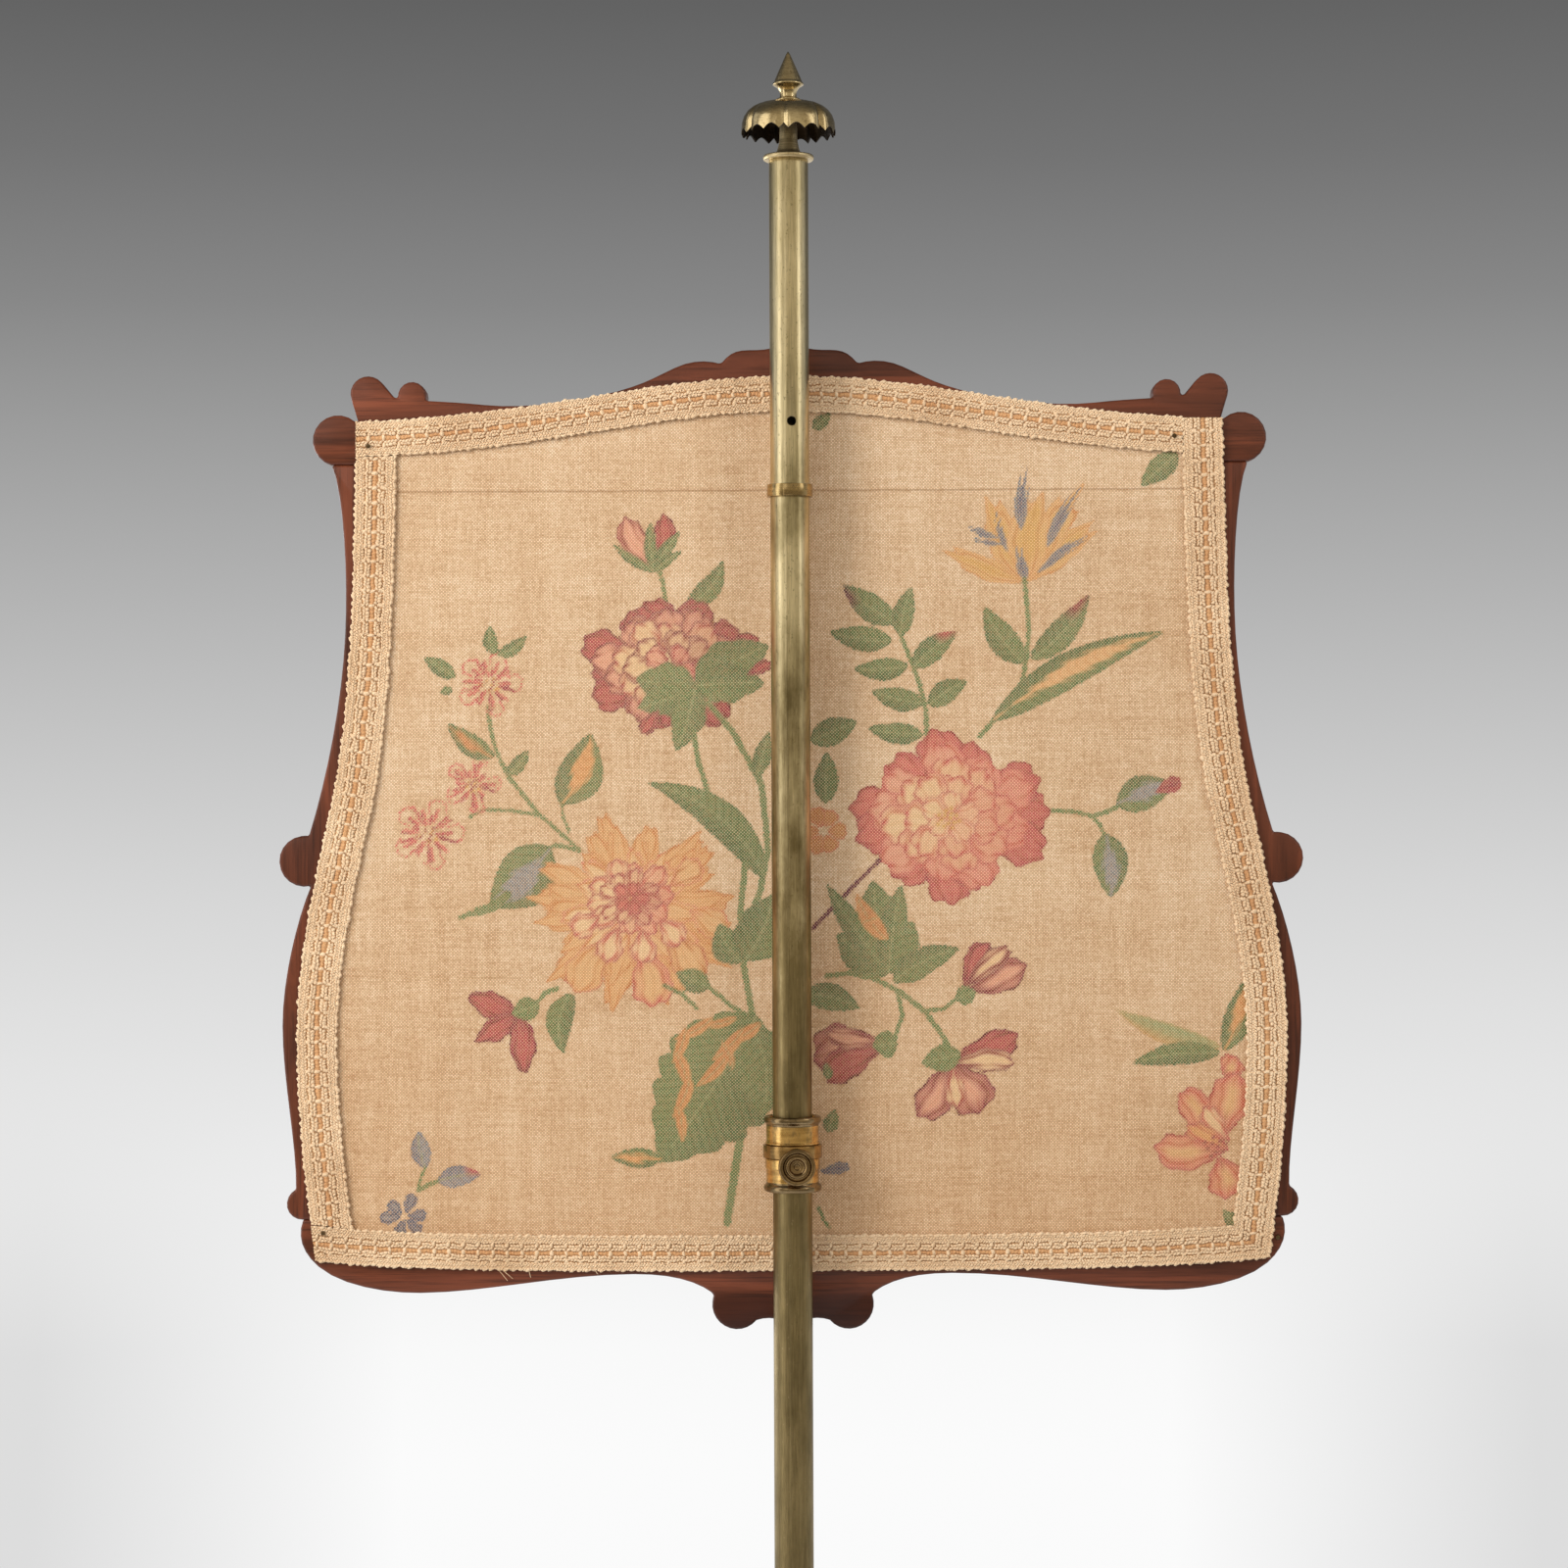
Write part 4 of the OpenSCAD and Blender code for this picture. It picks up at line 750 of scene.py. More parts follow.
def lily():
    """The faded lily on its tall stem with the sprig of small leaves beside it."""
    base = (240, 206)
    for end, wide in (
            ((160, 238), 24), ((204, 290), 36), ((310, 262), 32), ((294, 298), 34), ((252, 294), 46)):
        petal(base, end, wide, gold, pale_peach, peach, 0.03, 0.7, 0.5, 0.1)
    for start, end, wide in (
            ((236, 258), (239, 312), 14), ((262, 240), (288, 290), 12), ((212, 250), (182, 262), 8),
            ((262, 226), (298, 248), 8), ((241, 206), (234, 236), 12), ((222, 236), (212, 268), 7),
            ((252, 214), (286, 238), 7), ((216, 244), (190, 248), 5)):
        petal(start, end, wide, slate, mist, mist, 0.03, 0.8, 0.5, 0.3)
    stem([(239, 208), (243, 170), (243, 144), (237, 104), (216, 74), (193, 48)], 4.5)
    leaf((239, 122), (198, 180), 30, 0.06)
    leaf((246, 126), (305, 192), 28, -0.06, tip=crimson)
    leaf((206, 64), (382, 154), 36, 0.05, heart=pale_peach)
    leaf((396, 336), (358, 303), 25)
    stem([(139, 44), (138, 75), (131, 104), (119, 136), (108, 162)], 4.5)
    for start, end, wide, tip in (
            ((108, 164), (54, 203), 28, plum), ((112, 150), (124, 201), 22, None),
            ((104, 146), (40, 155), 26, None), ((125, 118), (170, 155), 25, rose),
            ((120, 120), (64, 117), 23, None), ((136, 82), (82, 95), 24, None),
            ((141, 80), (180, 105), 24, None), ((135, 50), (78, 57), 22, None)):
        leaf(start, end, wide, 0.04, tip=tip)
    each(leaf, ((20, 44), (68, 64), 28), ((35, -20), (37, 33), 25))


def carnation():
    """The pink carnation and its side stem with two blue-grey buds."""
    blossom((33, -48), [(6, 4, 24, 20, amber, peach, coral, 0)])
    each(stem, ([(250, -28), (285, -29), (307, -34), (322, -30), (338, -22)], 4),
         ([(307, -34), (316, -44), (321, -58)], 3.5))
    leaf((332, -22), (392, -2), 36, 0.04, heart=mist)
    petal((372, -10), (398, 2), 18, crimson, rose, crimson)
    leaf((321, -52), (326, -118), 36, 0.04, heart=mist)
    blossom((163, -34), [(11, 30, 99, 50, coral, rose, crimson, 3), (9, 30, 85, 48, blush, coral, rose, 20),
                         (8, 18, 68, 46, cream, coral, rose, 6), (7, 10, 52, 40, cream, coral, rose, 25),
                         (5, 2, 31, 28, cream, blush, rose, 12)], 0.84, 0.0, 0.04)
    stipple((160, -36), 12, gold, 14, 2.2)


def lower_right():
    """The crimson buds on their branching stem, with the lobed leaf and the cut-off flower."""
    stem([(21, -148), (56, -112), (90, -78)], 4, plum)
    for end, wide in (
            ((83, -98), 54), ((46, -153), 42), ((124, -140), 44), ((36, -102), 26), ((112, -103), 32)):
        leaf((99, -194), end, wide, 0.02, lobes=2)
    each(leaf, ((98, -160), (66, -112), 18, 0.06, amber, peach),
         ((90, -136), (70, -142), 8, 0.0, amber, peach))
    each(stem,
         ([(36, -196), (60, -193), (83, -198), (112, -214), (135, -232), (150, -252), (159, -268)], 5),
         ([(107, -210), (113, -236), (103, -264)], 4), ([(135, -232), (155, -230), (171, -218)], 4))
    leaf((103, -202), (172, -168), 30, 0.06, lobes=2)
    leaf((12, -214), (70, -229), 28, 0.06)
    each(petal, ((176, -208), (200, -163), 28, rose, crimson, plum, 0.04),
         ((178, -212), (238, -184), 34, blush, crimson, plum, -0.05, 0.0, 0.7),
         ((178, -208), (222, -168), 24, cream, crimson, plum, 0.03, 0.0, 0.7))
    leaf((168, -220), (188, -212), 20, dark=green)
    each(petal, ((92, -264), (22, -276), 64, blush, crimson, plum, 0.03, 0.0, 0.8),
         ((94, -268), (34, -300), 40, rose, crimson, plum, -0.06),
         ((92, -262), (36, -254), 24, blush, crimson, plum, 0.06))
    leaf((108, -264), (82, -268), 28, dark=green)
    each(petal, ((160, -284), (230, -258), 36, rose, crimson, plum, -0.04),
         ((162, -286), (226, -284), 26, cream, crimson, plum, 0.04),
         ((160, -286), (132, -342), 40, blush, crimson, plum, 0.04, 0.0, 0.7),
         ((163, -286), (194, -334), 52, blush, crimson, plum, 0.0, 0.0, 0.7),
         ((164, -288), (168, -330), 24, cream, rose, crimson))
    leaf((172, -276), (132, -286), 28, dark=green)
    leaf((441, -274), (464, -198), 28, -0.05, heart=peach)
    each(leaf, ((437, -270), (330, -231), 22, 0.05, sage, peach), ((437, -276), (346, -287), 23, -0.05))
    for start, end, wide in (
            ((440, -300), (456, -282), 22), ((440, -360), (398, -314), 30), ((440, -360), (456, -298), 40),
            ((440, -376), (370, -374), 34), ((436, -382), (446, -424), 36)):
        petal(start, end, wide + 8, pale_peach, coral, crimson, 0.04, 0.2, 0.8)
    each(petal, ((446, -366), (420, -332), 24, cream, coral, crimson, 0.04),
         ((446, -376), (402, -352), 22, peach, coral, crimson, -0.04))
    stipple((432, -372), 12, crimson, 10, 2.0)
    each(leaf, ((462, -462), (438, -436), 16), ((38, -302), (34, -284), 10), ((36, -356), (44, -332), 16))
    petal((28, -396), (58, -390), 14, slate, mist, slate)
    stem([(26, -432), (32, -445), (38, -454)], 3)
    leaf((24, 362), (42, 378), 14)


def printed(across, up):
    """The dye and its strength at places given in millimetres."""
    fresh_cloth(across / step, up / step, linen_tan)
    for motif in (left_spray, peony, dahlia, broad_leaves, lily, carnation, lower_right):
        motif()
    return dye["ink"], dye["cover"], np.column_stack([dye["lines"], dye["cover"]])


def read_places(piece):
    """A mesh's vertices as rows of numbers."""
    places = np.zeros(len(piece.data.vertices) * 3)
    piece.data.vertices.foreach_get("co", places)
    return places.reshape(-1, 3)


def write_places(piece, places):
    """Moves a mesh's vertices to rows of numbers."""
    piece.data.vertices.foreach_set("co", np.ascontiguousarray(places, np.float32).ravel())
    piece.data.update()


bpy.ops.object.select_all(action="DESELECT")
bpy.ops.mesh.primitive_grid_add(x_subdivisions=cloth_columns, y_subdivisions=cloth_rows, size=2)
cloth = bpy.context.active_object
cloth.name = "printed_cloth"
places = read_places(cloth)
across, up = warped(places[:, 0], (places[:, 1] + 1) / 2)
level = np.full(len(across), cloth_y)
write_places(cloth, np.column_stack([across * mm, level, screen_z + up * mm]))
ink, cover, lines = printed(across, up)
inked = cover > 0.02


def pick_faces(piece, chosen):
    """Opens the active piece for editing, with only the chosen faces selected."""
    bpy.ops.object.mode_set(mode="EDIT")
    bpy.ops.mesh.select_mode(type="FACE")
    bpy.ops.mesh.select_all(action="DESELECT")
    bpy.ops.object.mode_set(mode="OBJECT")
    piece.data.polygons.foreach_set("select", chosen)
    bpy.ops.object.mode_set(mode="EDIT")


pick_faces(cloth, [bool(inked[list(face.vertices)].any()) for face in cloth.data.polygons])
bpy.ops.mesh.subdivide(number_cuts=2)
bpy.ops.mesh.select_all(action="SELECT")
bpy.ops.mesh.normals_make_consistent(inside=False)
bpy.ops.object.mode_set(mode="OBJECT")
if cloth.data.polygons[0].normal.y > 0:
    cloth.data.flip_normals()
places = read_places(cloth)
across = places[:, 0] / mm
up = (places[:, 2] - screen_z) / mm
ink, cover, lines = printed(across, up)
pull = 0.14 * np.sin(across * 0.11 + 0.6 * np.sin(up * 0.05)) * np.sin(up * 0.031 + 1.0)
places[:, 1] += (0.25 + pull) * mm
write_places(cloth, places)
pattern = cloth.data.attributes.new("pattern", "FLOAT_COLOR", "POINT")
pattern.data.foreach_set("color", np.column_stack([ink, cover]).astype(np.float32).ravel())
cuts = cloth.data.attributes.new("cuts", "FLOAT_VECTOR", "POINT")
cuts.data.foreach_set("vector", lines.astype(np.float32).ravel())


def backed(thick):
    """Turns the border of the active sheet back by its thickness, and closes it behind."""
    bpy.ops.object.mode_set(mode="EDIT")
    bpy.ops.mesh.select_mode(type="EDGE")
    bpy.ops.mesh.select_all(action="DESELECT")
    bpy.ops.mesh.select_non_manifold(use_wire=False, use_multi_face=False, use_non_contiguous=False,
                                     use_verts=False)
    bpy.ops.mesh.extrude_edges_move(TRANSFORM_OT_translate={"value": (0, thick, 0)})
    bpy.ops.mesh.edge_face_add()
    bpy.ops.object.mode_set(mode="OBJECT")
    bpy.ops.object.shade_smooth_by_angle(angle=math.radians(40))


backed(cloth_thick)


def stored(name):
    """The outputs of an attribute that the mesh stores."""
    made = node("Attribute")
    made.attribute_name = name
    return made.outputs


linen, surface = finish("printed_linen")
dyed = stored("pattern")
cut = split(stored("cuts")["Vector"])
drift = node("TexNoise", Vector=own(), Scale=75.0, Detail=2.5).outputs["Color"]
shaken = sums("MULTIPLY_ADD", drift, (1.5 * thread, 0, 1.5 * thread), own(), kind="VectorMath")
crossing = sums("SNAP", shaken, (thread, 1.0, thread), kind="VectorMath")
chance = node("TexWhiteNoise", Vector=crossing).outputs["Value"]
place = split(shaken)
weft, warp = (sums("SINE", sums("MULTIPLY", place[way], math.pi / thread)) for way in "ZX")
over = sums("MULTIPLY", weft, warp)
slubs = [noise(stretch, 1.0, 0.5) for stretch in ((45.0, 45.0, 900.0), (900.0, 45.0, 45.0))]
bands = [noise(stretch, 3.0, 0.6) for stretch in ((4.0, 4.0, 90.0), (90.0, 4.0, 4.0))]
uneven = weighted(0.0, (slubs[0], 0.5), (slubs[1], 0.5))
age = noise((8.0, 8.0, 8.0))
tone = weighted(-0.12, (uneven, 0.45), (age, 0.25), (chance, 0.2), (bands[0], 0.2), (bands[1], 0.2))
bare = ramp(tone, (0.32, rgb(192, 153, 114)), (0.52, rgb(218, 185, 149)), (0.7, rgb(234, 208, 177)))
pulled = sums("ABSOLUTE", sums("SUBTRACT", place["Z"], screen_z + pulled_thread))
bare = blended(fitted(pulled, 0.9 * thread, 0.2 * thread, 0.0, 0.6), bare, rgb(160, 120, 82))
# Darker and warmer towards the bottom of the cloth.
lower_tone = blended(1.0, bare, (0.94, 0.88, 0.82, 1), "MULTIPLY")
bare = blended(fitted(place["Z"], screen_z - 0.04, screen_z - 0.2), bare, lower_tone)
edge = fitted(weighted(-0.25, (dyed["Alpha"], 1.0), (chance, 0.5)), 0.32, 0.62)
worn = fitted(fitted(over, 0.05, 0.6), 0.0, 1.0, 1.0, 0.46)
patchy = fitted(sums("ADD", chance, age), 0.4, 1.3, 0.7, 1.0)
taken = sums("MULTIPLY", sums("MULTIPLY", edge, worn), patchy)
strokes = fitted(sums("COSINE", cut["X"]), 0.1, 0.8)
strokes = sums("MULTIPLY", strokes, sums("MULTIPLY", cut["Y"], 0.75))
deepened = node("Gamma", Color=dyed["Color"], Gamma=1.7).outputs["Color"]
coloured = blended(taken, bare, blended(strokes, dyed["Color"], deepened))
# Painted shade in the gaps between threads, and a painted highlight on their tops.
gap_shade = ramp(sums("MULTIPLY_ADD", over, 0.5, 0.5), (0.05, (0.9, 0.88, 0.84, 1)),
              (0.42, (0.58, 0.52, 0.44, 1)), (0.62, (0.97, 0.96, 0.94, 1)), (0.9, grey(1.14)))
feed(surface, Base_Color=blended(1.0, coloured, gap_shade, "MULTIPLY"), Roughness=0.9,
     Sheen_Weight=0.12, Specular_IOR_Level=0.15)
relief(surface, sums("ADD", sums("ABSOLUTE", over), uneven), 0.4, 0.0003)
cloth.data.materials.append(linen)
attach(cloth, "screen")
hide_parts("backing_cloth")

# The braid: cream cotton cords, plaited at both edges and looped beside a tan cord in the middle, 20 mm
# wide down the sides and drawn in to 17.5 mm along the top and bottom. It is glued over the cloth's
# edge in four lengths, and pinned at the corners.
repeat = 7.2
side_w = 20.0
level_w = 17.5
ground_z = 0.65
ground_thick = 1.2
cord_z = 0.55
spare = 16


def cotton(name, pale, deep):
    """Soft matt cotton cord with fine twisted fibres and a little dust."""
    made, surface = finish(name)
    fibres = noise((2600.0, 2600.0, 2600.0), 4.0, 0.65)
    dust = noise((26.0, 26.0, 26.0), 4.0, 0.6)
    tone = weighted(0.0, (fibres, 0.6), (dust, 0.4))
    feed(surface, Base_Color=ramp(tone, (0.36, rgb(*deep)), (0.6, rgb(*pale))), Roughness=0.95,
         Specular_IOR_Level=0.1, Sheen_Weight=0.15)
    relief(surface, fibres, 0.5, 0.0003)
    return made


# The third, darker cotton is the ground between the loops: painted shade in the gaps.
cords = [cotton("cream_cotton", (236, 208, 172), (208, 172, 132)),
         cotton("tan_cotton", (212, 164, 116), (184, 132, 88)),
         cotton("shaded_braid_ground", (190, 150, 108), (156, 118, 80))]

bpy.ops.object.select_all(action="DESELECT")
bpy.ops.mesh.primitive_cube_add(size=mm, location=(repeat / 2 * mm, 0, ground_z * mm),
                                scale=(repeat, side_w - 1.0, ground_thick))
braid_repeat = bpy.context.active_object
bpy.ops.object.transform_apply(location=True, rotation=True, scale=True)
for cord in cords:
    braid_repeat.data.materials.append(cord)
for face in braid_repeat.data.polygons:
    face.material_index = 2
pick_faces(braid_repeat, [abs(face.normal.x) > 0.9 for face in braid_repeat.data.polygons])
bpy.ops.mesh.delete(type="ONLY_FACE")


def loop_of_cord(along, across, long, wide, tall, slant=0, cord=0, sides=8):
    """One loop of cord that shows on the braid's face, swollen in its middle, in millimetres."""
    bpy.ops.mesh.primitive_uv_sphere_add(
        segments=sides, ring_count=4, radius=mm / 2, scale=(long, wide, tall),
        location=(along * mm, across * mm, (cord_z + tall * 0.36) * mm),
        rotation=(0, 0, math.radians(slant)))
    braid_repeat.active_material_index = cord
    bpy.ops.object.material_slot_assign()


plait_count = 5
plait_rows = (-9.1, -7.9, -6.7, -5.6, 5.9, 7.0, 8.1, 9.1)
loops_across = (-2.8, 3.1)
for i in range(plait_count):
    along = repeat * (i + 0.5) / plait_count
    for row, across in enumerate(plait_rows):
        odd = row % 2
        loop_of_cord(along + 0.7 * odd, across, 2.3, 1.4, 1.7 + 0.4 * odd, 40 if odd else -40, 0, 6)
for across in loops_across:
    for i in range(4):
        for side in (-0.75, 0.75):
            loop_of_cord(1.0 + 1.6 * i + 0.5 * side, across + side, 2.5, 1.7, 2.2, 48 * side, 0, 6)
for i in range(4):
    loop_of_cord(repeat * (i + 0.5) / 4, 0.2, 3.0, 2.6, 1.5, 24, 1, 6)
for along, across, long, wide in (
        (0.2, 0.2, 2.2, 4.0), (0.5, -4.3, 2.2, 2.6), (0.3, 4.6, 2.2, 2.6), (1.8, -9.3, 2.8, 2.0),
        (5.3, -9.4, 2.7, 2.1), (0.9, 9.3, 2.8, 2.0), (4.4, 9.4, 2.7, 2.1)):
    loop_of_cord(along, across, long, wide, 2.1, 10)
bpy.ops.object.mode_set(mode="OBJECT")


def beside(line, far):
    """A line that runs beside another, to its right."""
    way = np.gradient(line, axis=0)
    way /= np.hypot(way[:, 0], way[:, 1])[:, None]
    return line + far * np.column_stack([way[:, 1], -way[:, 0]])


def spans(line):
    """The length of each step of a line."""
    return np.hypot(*np.diff(line, axis=0).T)


def lengthened(line, far):
    """A line carried straight on at both ends."""
    first = line[0] + (line[0] - line[1]) / np.hypot(*(line[0] - line[1])) * far
    last = line[-1] + (line[-1] - line[-2]) / np.hypot(*(line[-1] - line[-2])) * far
    return np.vstack([first, line, last])


def laid_braid(name, edge, width, ends, seed):
    """A length of braid inside an edge that goes clockwise round the cloth, cut off at its ends."""
    line = lengthened(beside(edge, width / 2), spare)
    piece = placed(name + "_cords", braid_repeat.data.copy())
    piece.scale = (1, width / side_w, 1)
    bpy.ops.object.transform_apply(location=False, rotation=False, scale=True)
    applied(piece, "ARRAY", use_relative_offset=False, use_constant_offset=True,
            constant_offset_displace=(repeat * mm, 0, 0), count=int(spans(line).sum() / repeat),
            use_merge_vertices=True, merge_threshold=0.01 * mm)
    bpy.ops.object.mode_set(mode="EDIT")
    bpy.ops.mesh.select_all(action="SELECT")
    bpy.ops.transform.vertex_random(offset=0.15 * mm, uniform=0.6, seed=seed)
    bpy.ops.object.mode_set(mode="OBJECT")
    slack = bpy.data.textures.new(name + "_slack", "CLOUDS")
    slack.noise_scale = (2.6 + 0.2 * seed) * mm
    for way, reach in (("Y", 1.9), ("X", 1.6)):
        applied(piece, "DISPLACE", texture=slack, direction=way, strength=reach * mm)
    path = bpy.data.curves.new(name + "_line", "CURVE")
    path.dimensions = "2D"
    run = path.splines.new("POLY")
    run.points.add(len(line) - 1)
    for point, (x, z) in zip(run.points, line):
        point.co = (x * mm, z * mm, 0, 1)
    guide = bpy.data.objects.new(name + "_line", path)
    bpy.context.scene.collection.objects.link(guide)
    applied(piece, "CURVE", object=guide)
    bpy.data.objects.remove(guide)
    piece.rotation_euler = (math.radians(90), 0, 0)
    piece.location = (0, cloth_y, screen_z)
    bpy.ops.object.transform_apply(location=True, rotation=True, scale=False)
    bpy.ops.object.mode_set(mode="EDIT")
    for (x, z), (away_x, away_z) in ends:
        bpy.ops.mesh.select_all(action="SELECT")
        far = math.hypot(away_x, away_z)
        bpy.ops.mesh.bisect(plane_co=(x * mm, 0, screen_z + z * mm),
                            plane_no=(away_x / far, 0, away_z / far), use_fill=True, clear_outer=True)
    bpy.ops.object.mode_set(mode="OBJECT")
    bpy.ops.object.shade_smooth_by_angle(angle=math.radians(70))
    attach(piece, "screen")
    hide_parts(name)
    return piece


mirror = np.array([-1, 1])
foot = cloth_bottom[-1]
braids = [
    laid_braid("braid_top", joined(cloth_top[::-1] * mirror, cloth_top), level_w,
               [((-212.6, 178), (-1, 0)), ((192.6, 170), (1, 0))], 1),
    laid_braid("braid_right", cloth_side, side_w, [((212, 178.7), (0, 1)), (foot, (-17.3, -19.1))], 2),
    laid_braid("braid_bottom", joined(cloth_bottom[::-1], cloth_bottom * mirror), level_w,
               [(foot, (17.3, 19.1)), (foot * mirror, (-33, -4))], 3),
    laid_braid("braid_left", (cloth_side * mirror)[::-1], side_w,
               [((-224, -216.2), (-0.11, -1)), ((-203, 161.2), (-0.03, 1))], 4)]
bpy.data.objects.remove(braid_repeat)
half = joined(cloth_top, cloth_side, cloth_bottom[::-1])
cut_area = abs(np.sum(half[:-1, 0] * half[1:, 1] - half[1:, 0] * half[:-1, 1]))
cut_area -= 2 * cloth_tuck * spans(half).sum()

# The pins and loose ends: small brass pins, gone brown, driven at the corners of the braid, and a few
# threads that have frayed from its lower edge.
pin_brass = brass("pin_brass", (132, 110, 84), (90, 74, 56), (56, 44, 34), 0.3)
dressed("gimp_pins", "screen", "brass", 0.1, pin_brass)


def tube(name, thick, rounds, runs):
    """A tube along smooth lines. Each point has its places across, back and up, and its radius."""
    path = bpy.data.curves.new(name, "CURVE")
    path.dimensions = "3D"
    path.bevel_depth = thick * mm
    path.bevel_resolution = rounds
    path.use_fill_caps = True
    for points in runs:
        run = path.splines.new("NURBS")
        run.points.add(len(points) - 1)
        run.use_endpoint_u = True
        run.order_u = 4
        for point, (x, y, z, radius) in zip(run.points, points):
            point.co = (x * mm, y, screen_z + z * mm, 1)
            point.radius = radius
    piece = placed(name, path)
    bpy.ops.object.convert(target="MESH")
    return piece


frays = ((-145.6, -236.5, 5.6, 6.4), (-143.6, -237.0, 6.2, 5.0), (-129.6, -237.0, 1.0, 4.4),
         (-98.0, -236.8, 2.4, 3.2))
fray_out = (0.6, 1.6, 1.9, 0.4)
threads = tube("frayed_threads", 0.17, 1,
               [[(x + reach * i / 3, cloth_y - out * mm, z - drop * (i / 3) ** 1.4, 1.0)
                 for i, out in enumerate(fray_out)] for x, z, reach, drop in frays])
threads.data.materials.append(cords[0])
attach(threads, "screen")

# The needlework front: wool tent stitch on canvas, a bouquet on a dark ground inside a leafy border,
# stretched on the board. A mahogany bead holds its edge.
stitch = 1.7
canvas_w = 456
canvas_h = 409
canvas_y = 31.72
canvas_thick = 0.8 * mm
canvas_drop = 19.3
rebate_in = 15.0
border_in = 40.0
dark_wool = rgb(52, 40, 36)


def worked(across, up):
    """The wool at places given in millimetres: a bouquet of roses, small blue flowers and a border."""
    fresh_cloth(across / step, up / step, dark_wool)
    moss = rgb(98, 108, 58)
    bottle = rgb(54, 74, 52)
    ruby = rgb(142, 40, 48)
    wine = rgb(92, 24, 36)
    shell = rgb(216, 148, 132)
    ivory = rgb(232, 212, 176)
    straw = rgb(204, 164, 92)
    blue = rgb(110, 130, 156)
    outline = joined(half, (half * mirror)[::-1])
    line = beside(outline, border_in)
    line = line[[np.hypot(*(outline - point).T).min() > border_in - 1.5 for point in line]] / step
    for i in range(0, len(line) - 1, 2):
        stem([line[i], line[min(i + 2, len(line) - 1)]], 7, straw)
    walk = np.concatenate([[0], np.cumsum(spans(line))])
    for i, far in enumerate(np.arange(20, walk[-1] - 10, 46.0)):
        here, ahead = (np.array([np.interp(d, walk, line[:, k]) for k in (0, 1)]) for d in (far, far + 6))
        way = (ahead - here) / np.hypot(*(ahead - here))
        out = np.array([way[1], -way[0]]) * (1 if i % 2 else -1)
        leaf(here, here + way * 34 + out * 24, 20, 0.06, moss, bottle)
    for points in (
            [(0, -250), (-30, -160), (-90, -60), (-150, 40)],
            [(6, -250), (30, -150), (100, -40), (150, 50)], [(0, -250), (0, -100), (0, 60)],
            [(-6, -250), (-70, -200), (-150, -150)], [(6, -250), (80, -200), (150, -140)]):
        stem(points, 7, moss)
    for start, end, wide, bow in (
            ((-40, 100), (-70, 210), 62, 0.1), ((40, 100), (90, 205), 60, -0.1),
            ((-190, 90), (-280, 150), 58, 0.08), ((190, 80), (285, 130), 58, -0.08),
            ((-200, 20), (-300, -20), 56, -0.1), ((200, 10), (300, -40), 56, 0.1),
            ((-140, -170), (-240, -200), 54, 0.1), ((150, -160), (245, -210), 54, -0.1),
            ((-30, -190), (-120, -262), 50, 0.1), ((30, -190), (120, -262), 50, -0.1),
            ((0, 120), (10, 230), 46, 0.05), ((-80, 0), (-200, -70), 50, 0.1),
            ((80, 0), (205, -75), 50, -0.1)):
        leaf(start, end, wide, bow, moss, bottle, lobes=3)
    roses = (((-150, 70), 80, shell, ivory, ruby), ((152, 62), 80, ivory, ivory, straw),
             ((-108, -118), 70, straw, ivory, shell), ((112, -116), 72, ruby, shell, wine),
             ((0, 12), 112, ruby, shell, wine))
    for middle, reach, rim, inner, deep in roses:
        blossom(middle, [(9, reach * 0.4, reach, reach * 0.62, rim, inner, deep, 0),
                         (8, reach * 0.28, reach * 0.8, reach * 0.56, deep, rim, deep, 20),
                         (7, reach * 0.12, reach * 0.6, reach * 0.5, rim, inner, deep, 40),
                         (5, reach * 0.04, reach * 0.38, reach * 0.34, deep, rim, wine, 10)])
    for middle in (
            (-60, 140), (-36, 162), (70, 140), (240, 60), (-246, 60), (0, -150), (-20, -176), (200, -70),
            (-196, -60), (30, -168), (-64, -40), (66, -42)):
        blossom(middle, [(5, 3, 19, 15, blue, ivory, blue, 15)])
        stipple(middle, 5, straw, 5, 2.5)
    return np.where(dye["cover"][:, None] > 0.5, dye["ink"], np.array(dark_wool[:3]))


wide_count = int(canvas_w / stitch)
tall_count = int(canvas_h / stitch)
bpy.ops.object.select_all(action="DESELECT")
bpy.ops.mesh.primitive_grid_add(x_subdivisions=wide_count, y_subdivisions=tall_count, size=mm,
                                location=(0, canvas_y * mm, screen_z - canvas_drop * mm),
                                rotation=(math.radians(-90), 0, 0))
needlework = bpy.context.active_object
needlework.name = "wool_needlework"
needlework.scale = (wide_count * stitch, tall_count * stitch, 1)
bpy.ops.object.transform_apply(location=True, rotation=True, scale=True)
centres = np.zeros(len(needlework.data.polygons) * 3)
needlework.data.polygons.foreach_get("center", centres)
centres = centres.reshape(-1, 3) / mm - np.array([0, 0, screen_z / mm])
aside = np.abs(centres[:, 0])
outside = aside > np.interp(-centres[:, 2], -cloth_side[:, 1], cloth_side[:, 0]) - rebate_in
outside |= centres[:, 2] > np.interp(aside, cloth_top[:, 0], cloth_top[:, 1]) - rebate_in
outside |= centres[:, 2] < np.interp(aside, cloth_bottom[:, 0], cloth_bottom[:, 1]) + rebate_in
wool = np.column_stack([worked(centres[:, 0], centres[:, 2]), np.ones(len(centres))])
stitches = needlework.data.attributes.new("stitches", "FLOAT_COLOR", "CORNER")
stitches.data.foreach_set("color", np.repeat(wool, 4, axis=0).astype(np.float32).ravel())
pick_faces(needlework, outside)
bpy.ops.mesh.delete(type="FACE")
bpy.ops.object.mode_set(mode="OBJECT")
backed(-canvas_thick)

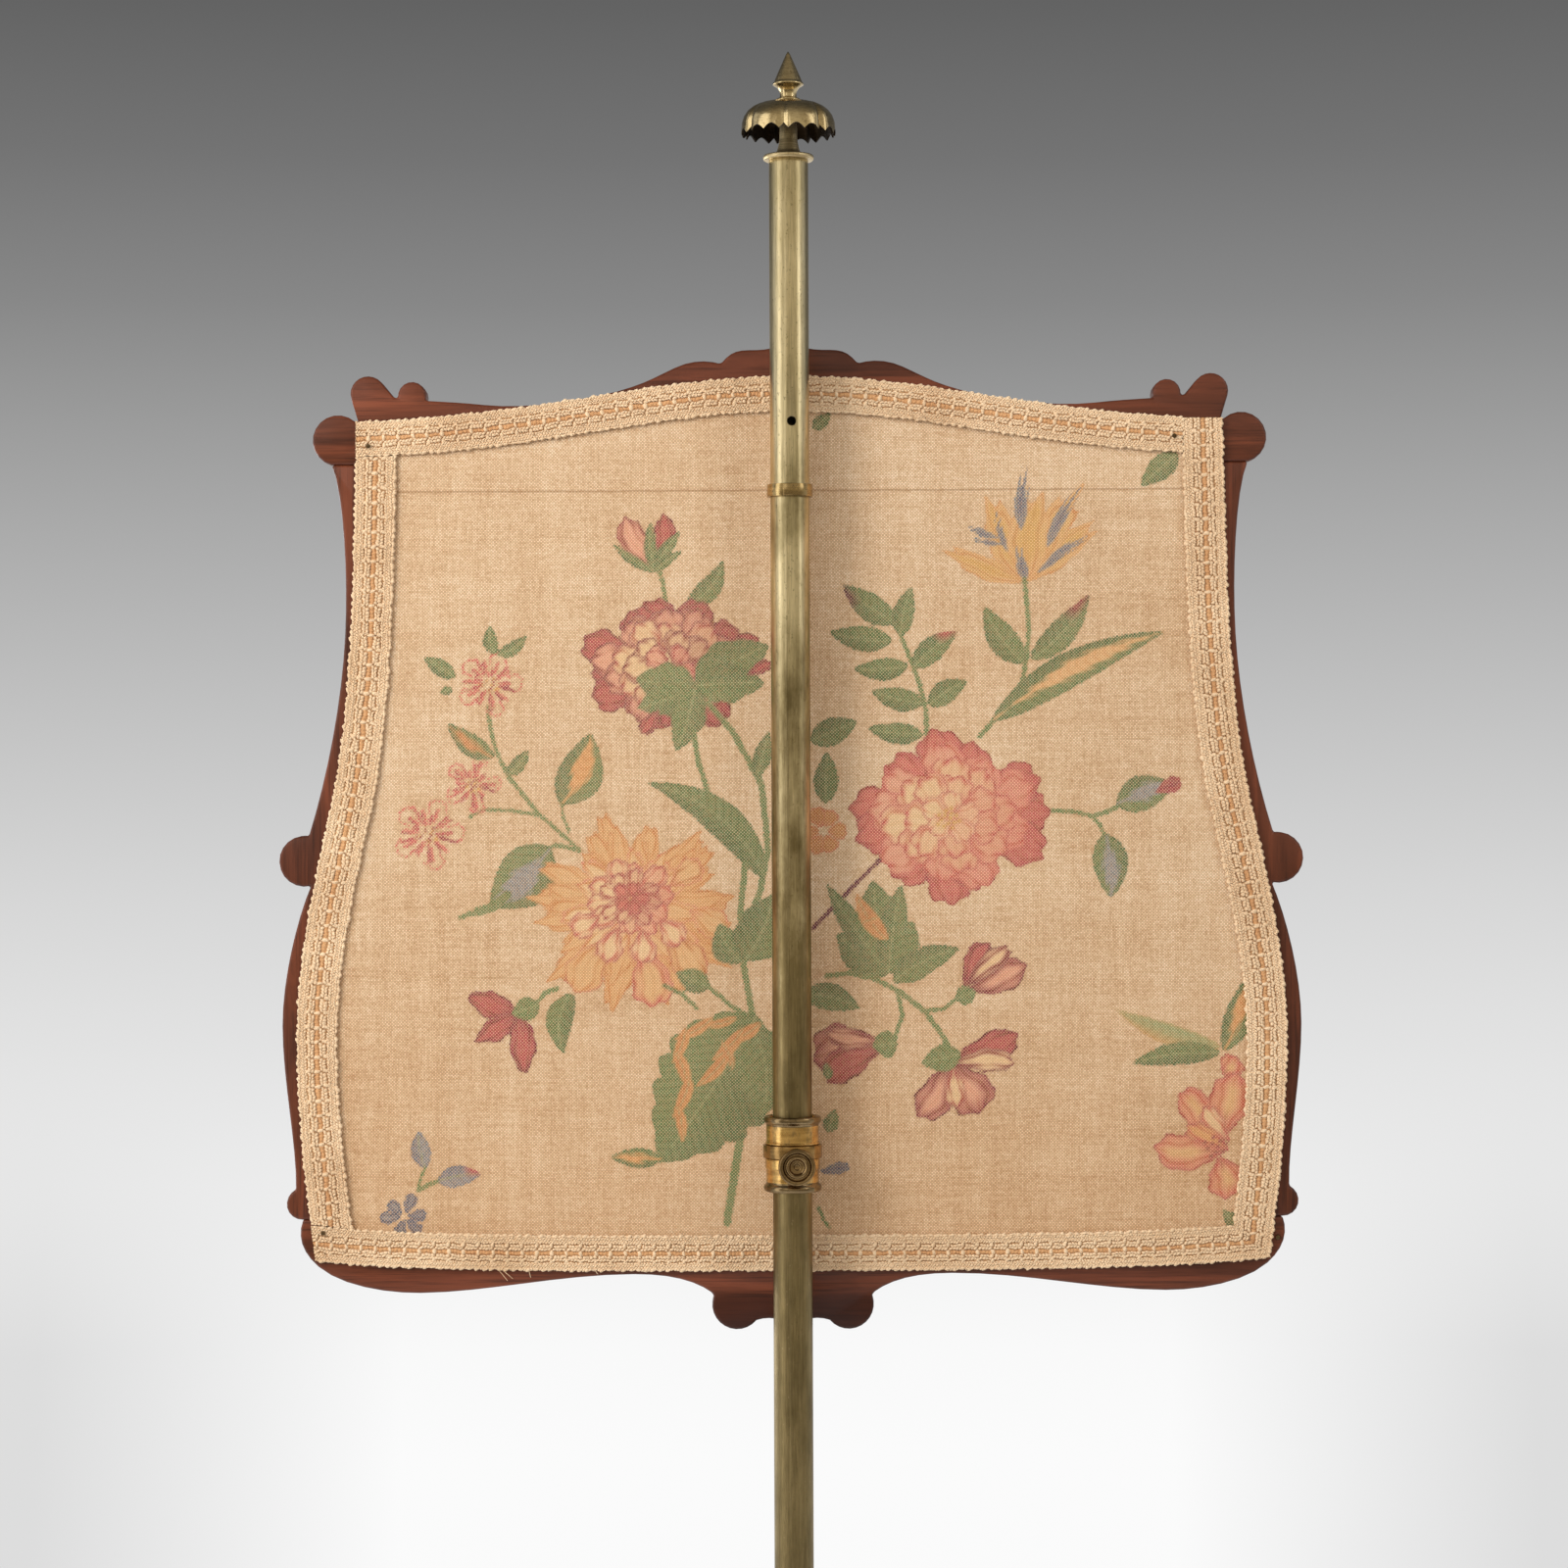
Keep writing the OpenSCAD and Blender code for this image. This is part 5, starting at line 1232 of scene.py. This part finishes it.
wools, surface = finish("wool_tent_stitch")
place = split(own())
cells = []
for way, start in (
        ("X", -wide_count * stitch / 2 * mm),
        ("Z", screen_z - (canvas_drop + tall_count * stitch / 2) * mm)):
    counted = sums("DIVIDE", sums("SUBTRACT", place[way], start), stitch * mm)
    cells.append(sums("FRACT", counted))
slant = sums("SUBTRACT", 1.0, sums("ABSOLUTE", sums("SUBTRACT", *cells)))
fuzz = noise((1800.0, 1800.0, 1800.0), 3.0, 0.6)
faded = noise((12.0, 12.0, 12.0), 4.0, 0.6)
# Painted shade where the stitches meet.
gap_shade = ramp(slant, (0.25, (0.45, 0.42, 0.4, 1)), (0.75, grey(1)))
aged = blended(ramp(faded, (0.4, black), (0.75, grey(0.3))), stored("stitches")["Color"],
               rgb(150, 124, 98))
feed(surface, Base_Color=blended(1.0, aged, gap_shade, "MULTIPLY"), Roughness=0.95,
     Specular_IOR_Level=0.1, Sheen_Weight=0.2)
relief(surface, weighted(slant, (fuzz, 0.3)), 0.6, 0.0006)
needlework.data.materials.append(wools)
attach(needlework, "screen")
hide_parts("needlework")

dressed("sight_bead", "screen", "mahogany", 0.9, mahogany("bead_mahogany", "X"))

# The carved front of the frame: a moulding that runs from scroll to scroll along the edge, each scroll
# curled round a domed eye on its lobe. Rails, mouldings and eyes are one polish.
front_y = 35.8 * mm
moulding_r = 1.9


def scroll(middle, first, last, angle, turn):
    """Points on a scroll that winds from its first radius to its last, in millimetres."""
    share = np.linspace(0, 1, 15)
    bearing = np.radians(angle + turn * share)
    far = first + (last - first) * share
    return np.column_stack([middle[0] + far * np.cos(bearing), middle[1] + far * np.sin(bearing)])


crest_run = np.vstack([scroll((17, 198), 2.5, 6.5, 540, -450),
                       [(34, 200), (52, 196), (68, 190), (84, 186), (105, 181), (130, 178), (150, 179),
                        (172, 180.5), (190, 181.5)], scroll((206.8, 192.3), 7.0, 5.0, -110, 380)])
waist_run = np.vstack([scroll((221.6, 169.4), 8.5, 10.3, -190, 380),
                       [(211.5, 140), (210.5, 110), (211, 77), (213, 45), (218, 15), (225, -12)],
                       scroll((238.9, -37), 10.3, 8.5, 170, 380)])
hip_run = np.vstack([[(231, -54), (236, -72), (241, -95), (243, -120), (242, -150), (239, -176), (234, -192)],
                     scroll((240.7, -205.3), 6.3, 4.6, 180, 360)])
apron_run = np.vstack([[(229, -221), (220, -230), (203, -238), (183, -241.5), (150, -238.5), (115, -233.5),
                        (80, -233), (60, -235), (46, -240)], scroll((27.4, -255.3), 10.2, 8.4, 70, 380)])


def tapered(points, side):
    """Points of the moulding with their radii, thinner at both ends, on one side of the screen."""
    last = len(points) - 1
    return [(side * x, front_y, z, min(1.0, 0.45 + 0.09 * i, 0.45 + 0.09 * (last - i)))
            for i, (x, z) in enumerate(points)]


carved = tube("carved_scrolls", moulding_r, 2,
              [tapered(run, side) for side in (-1, 1) for run in (crest_run, waist_run, hip_run, apron_run)])
bpy.ops.object.shade_smooth()
carved_wood = mahogany("carved_mahogany", "Z")
carved.data.materials.append(carved_wood)
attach(carved, "screen")
dressed("scroll_bosses", "screen", "mahogany", 0.8, carved_wood, steps=3)
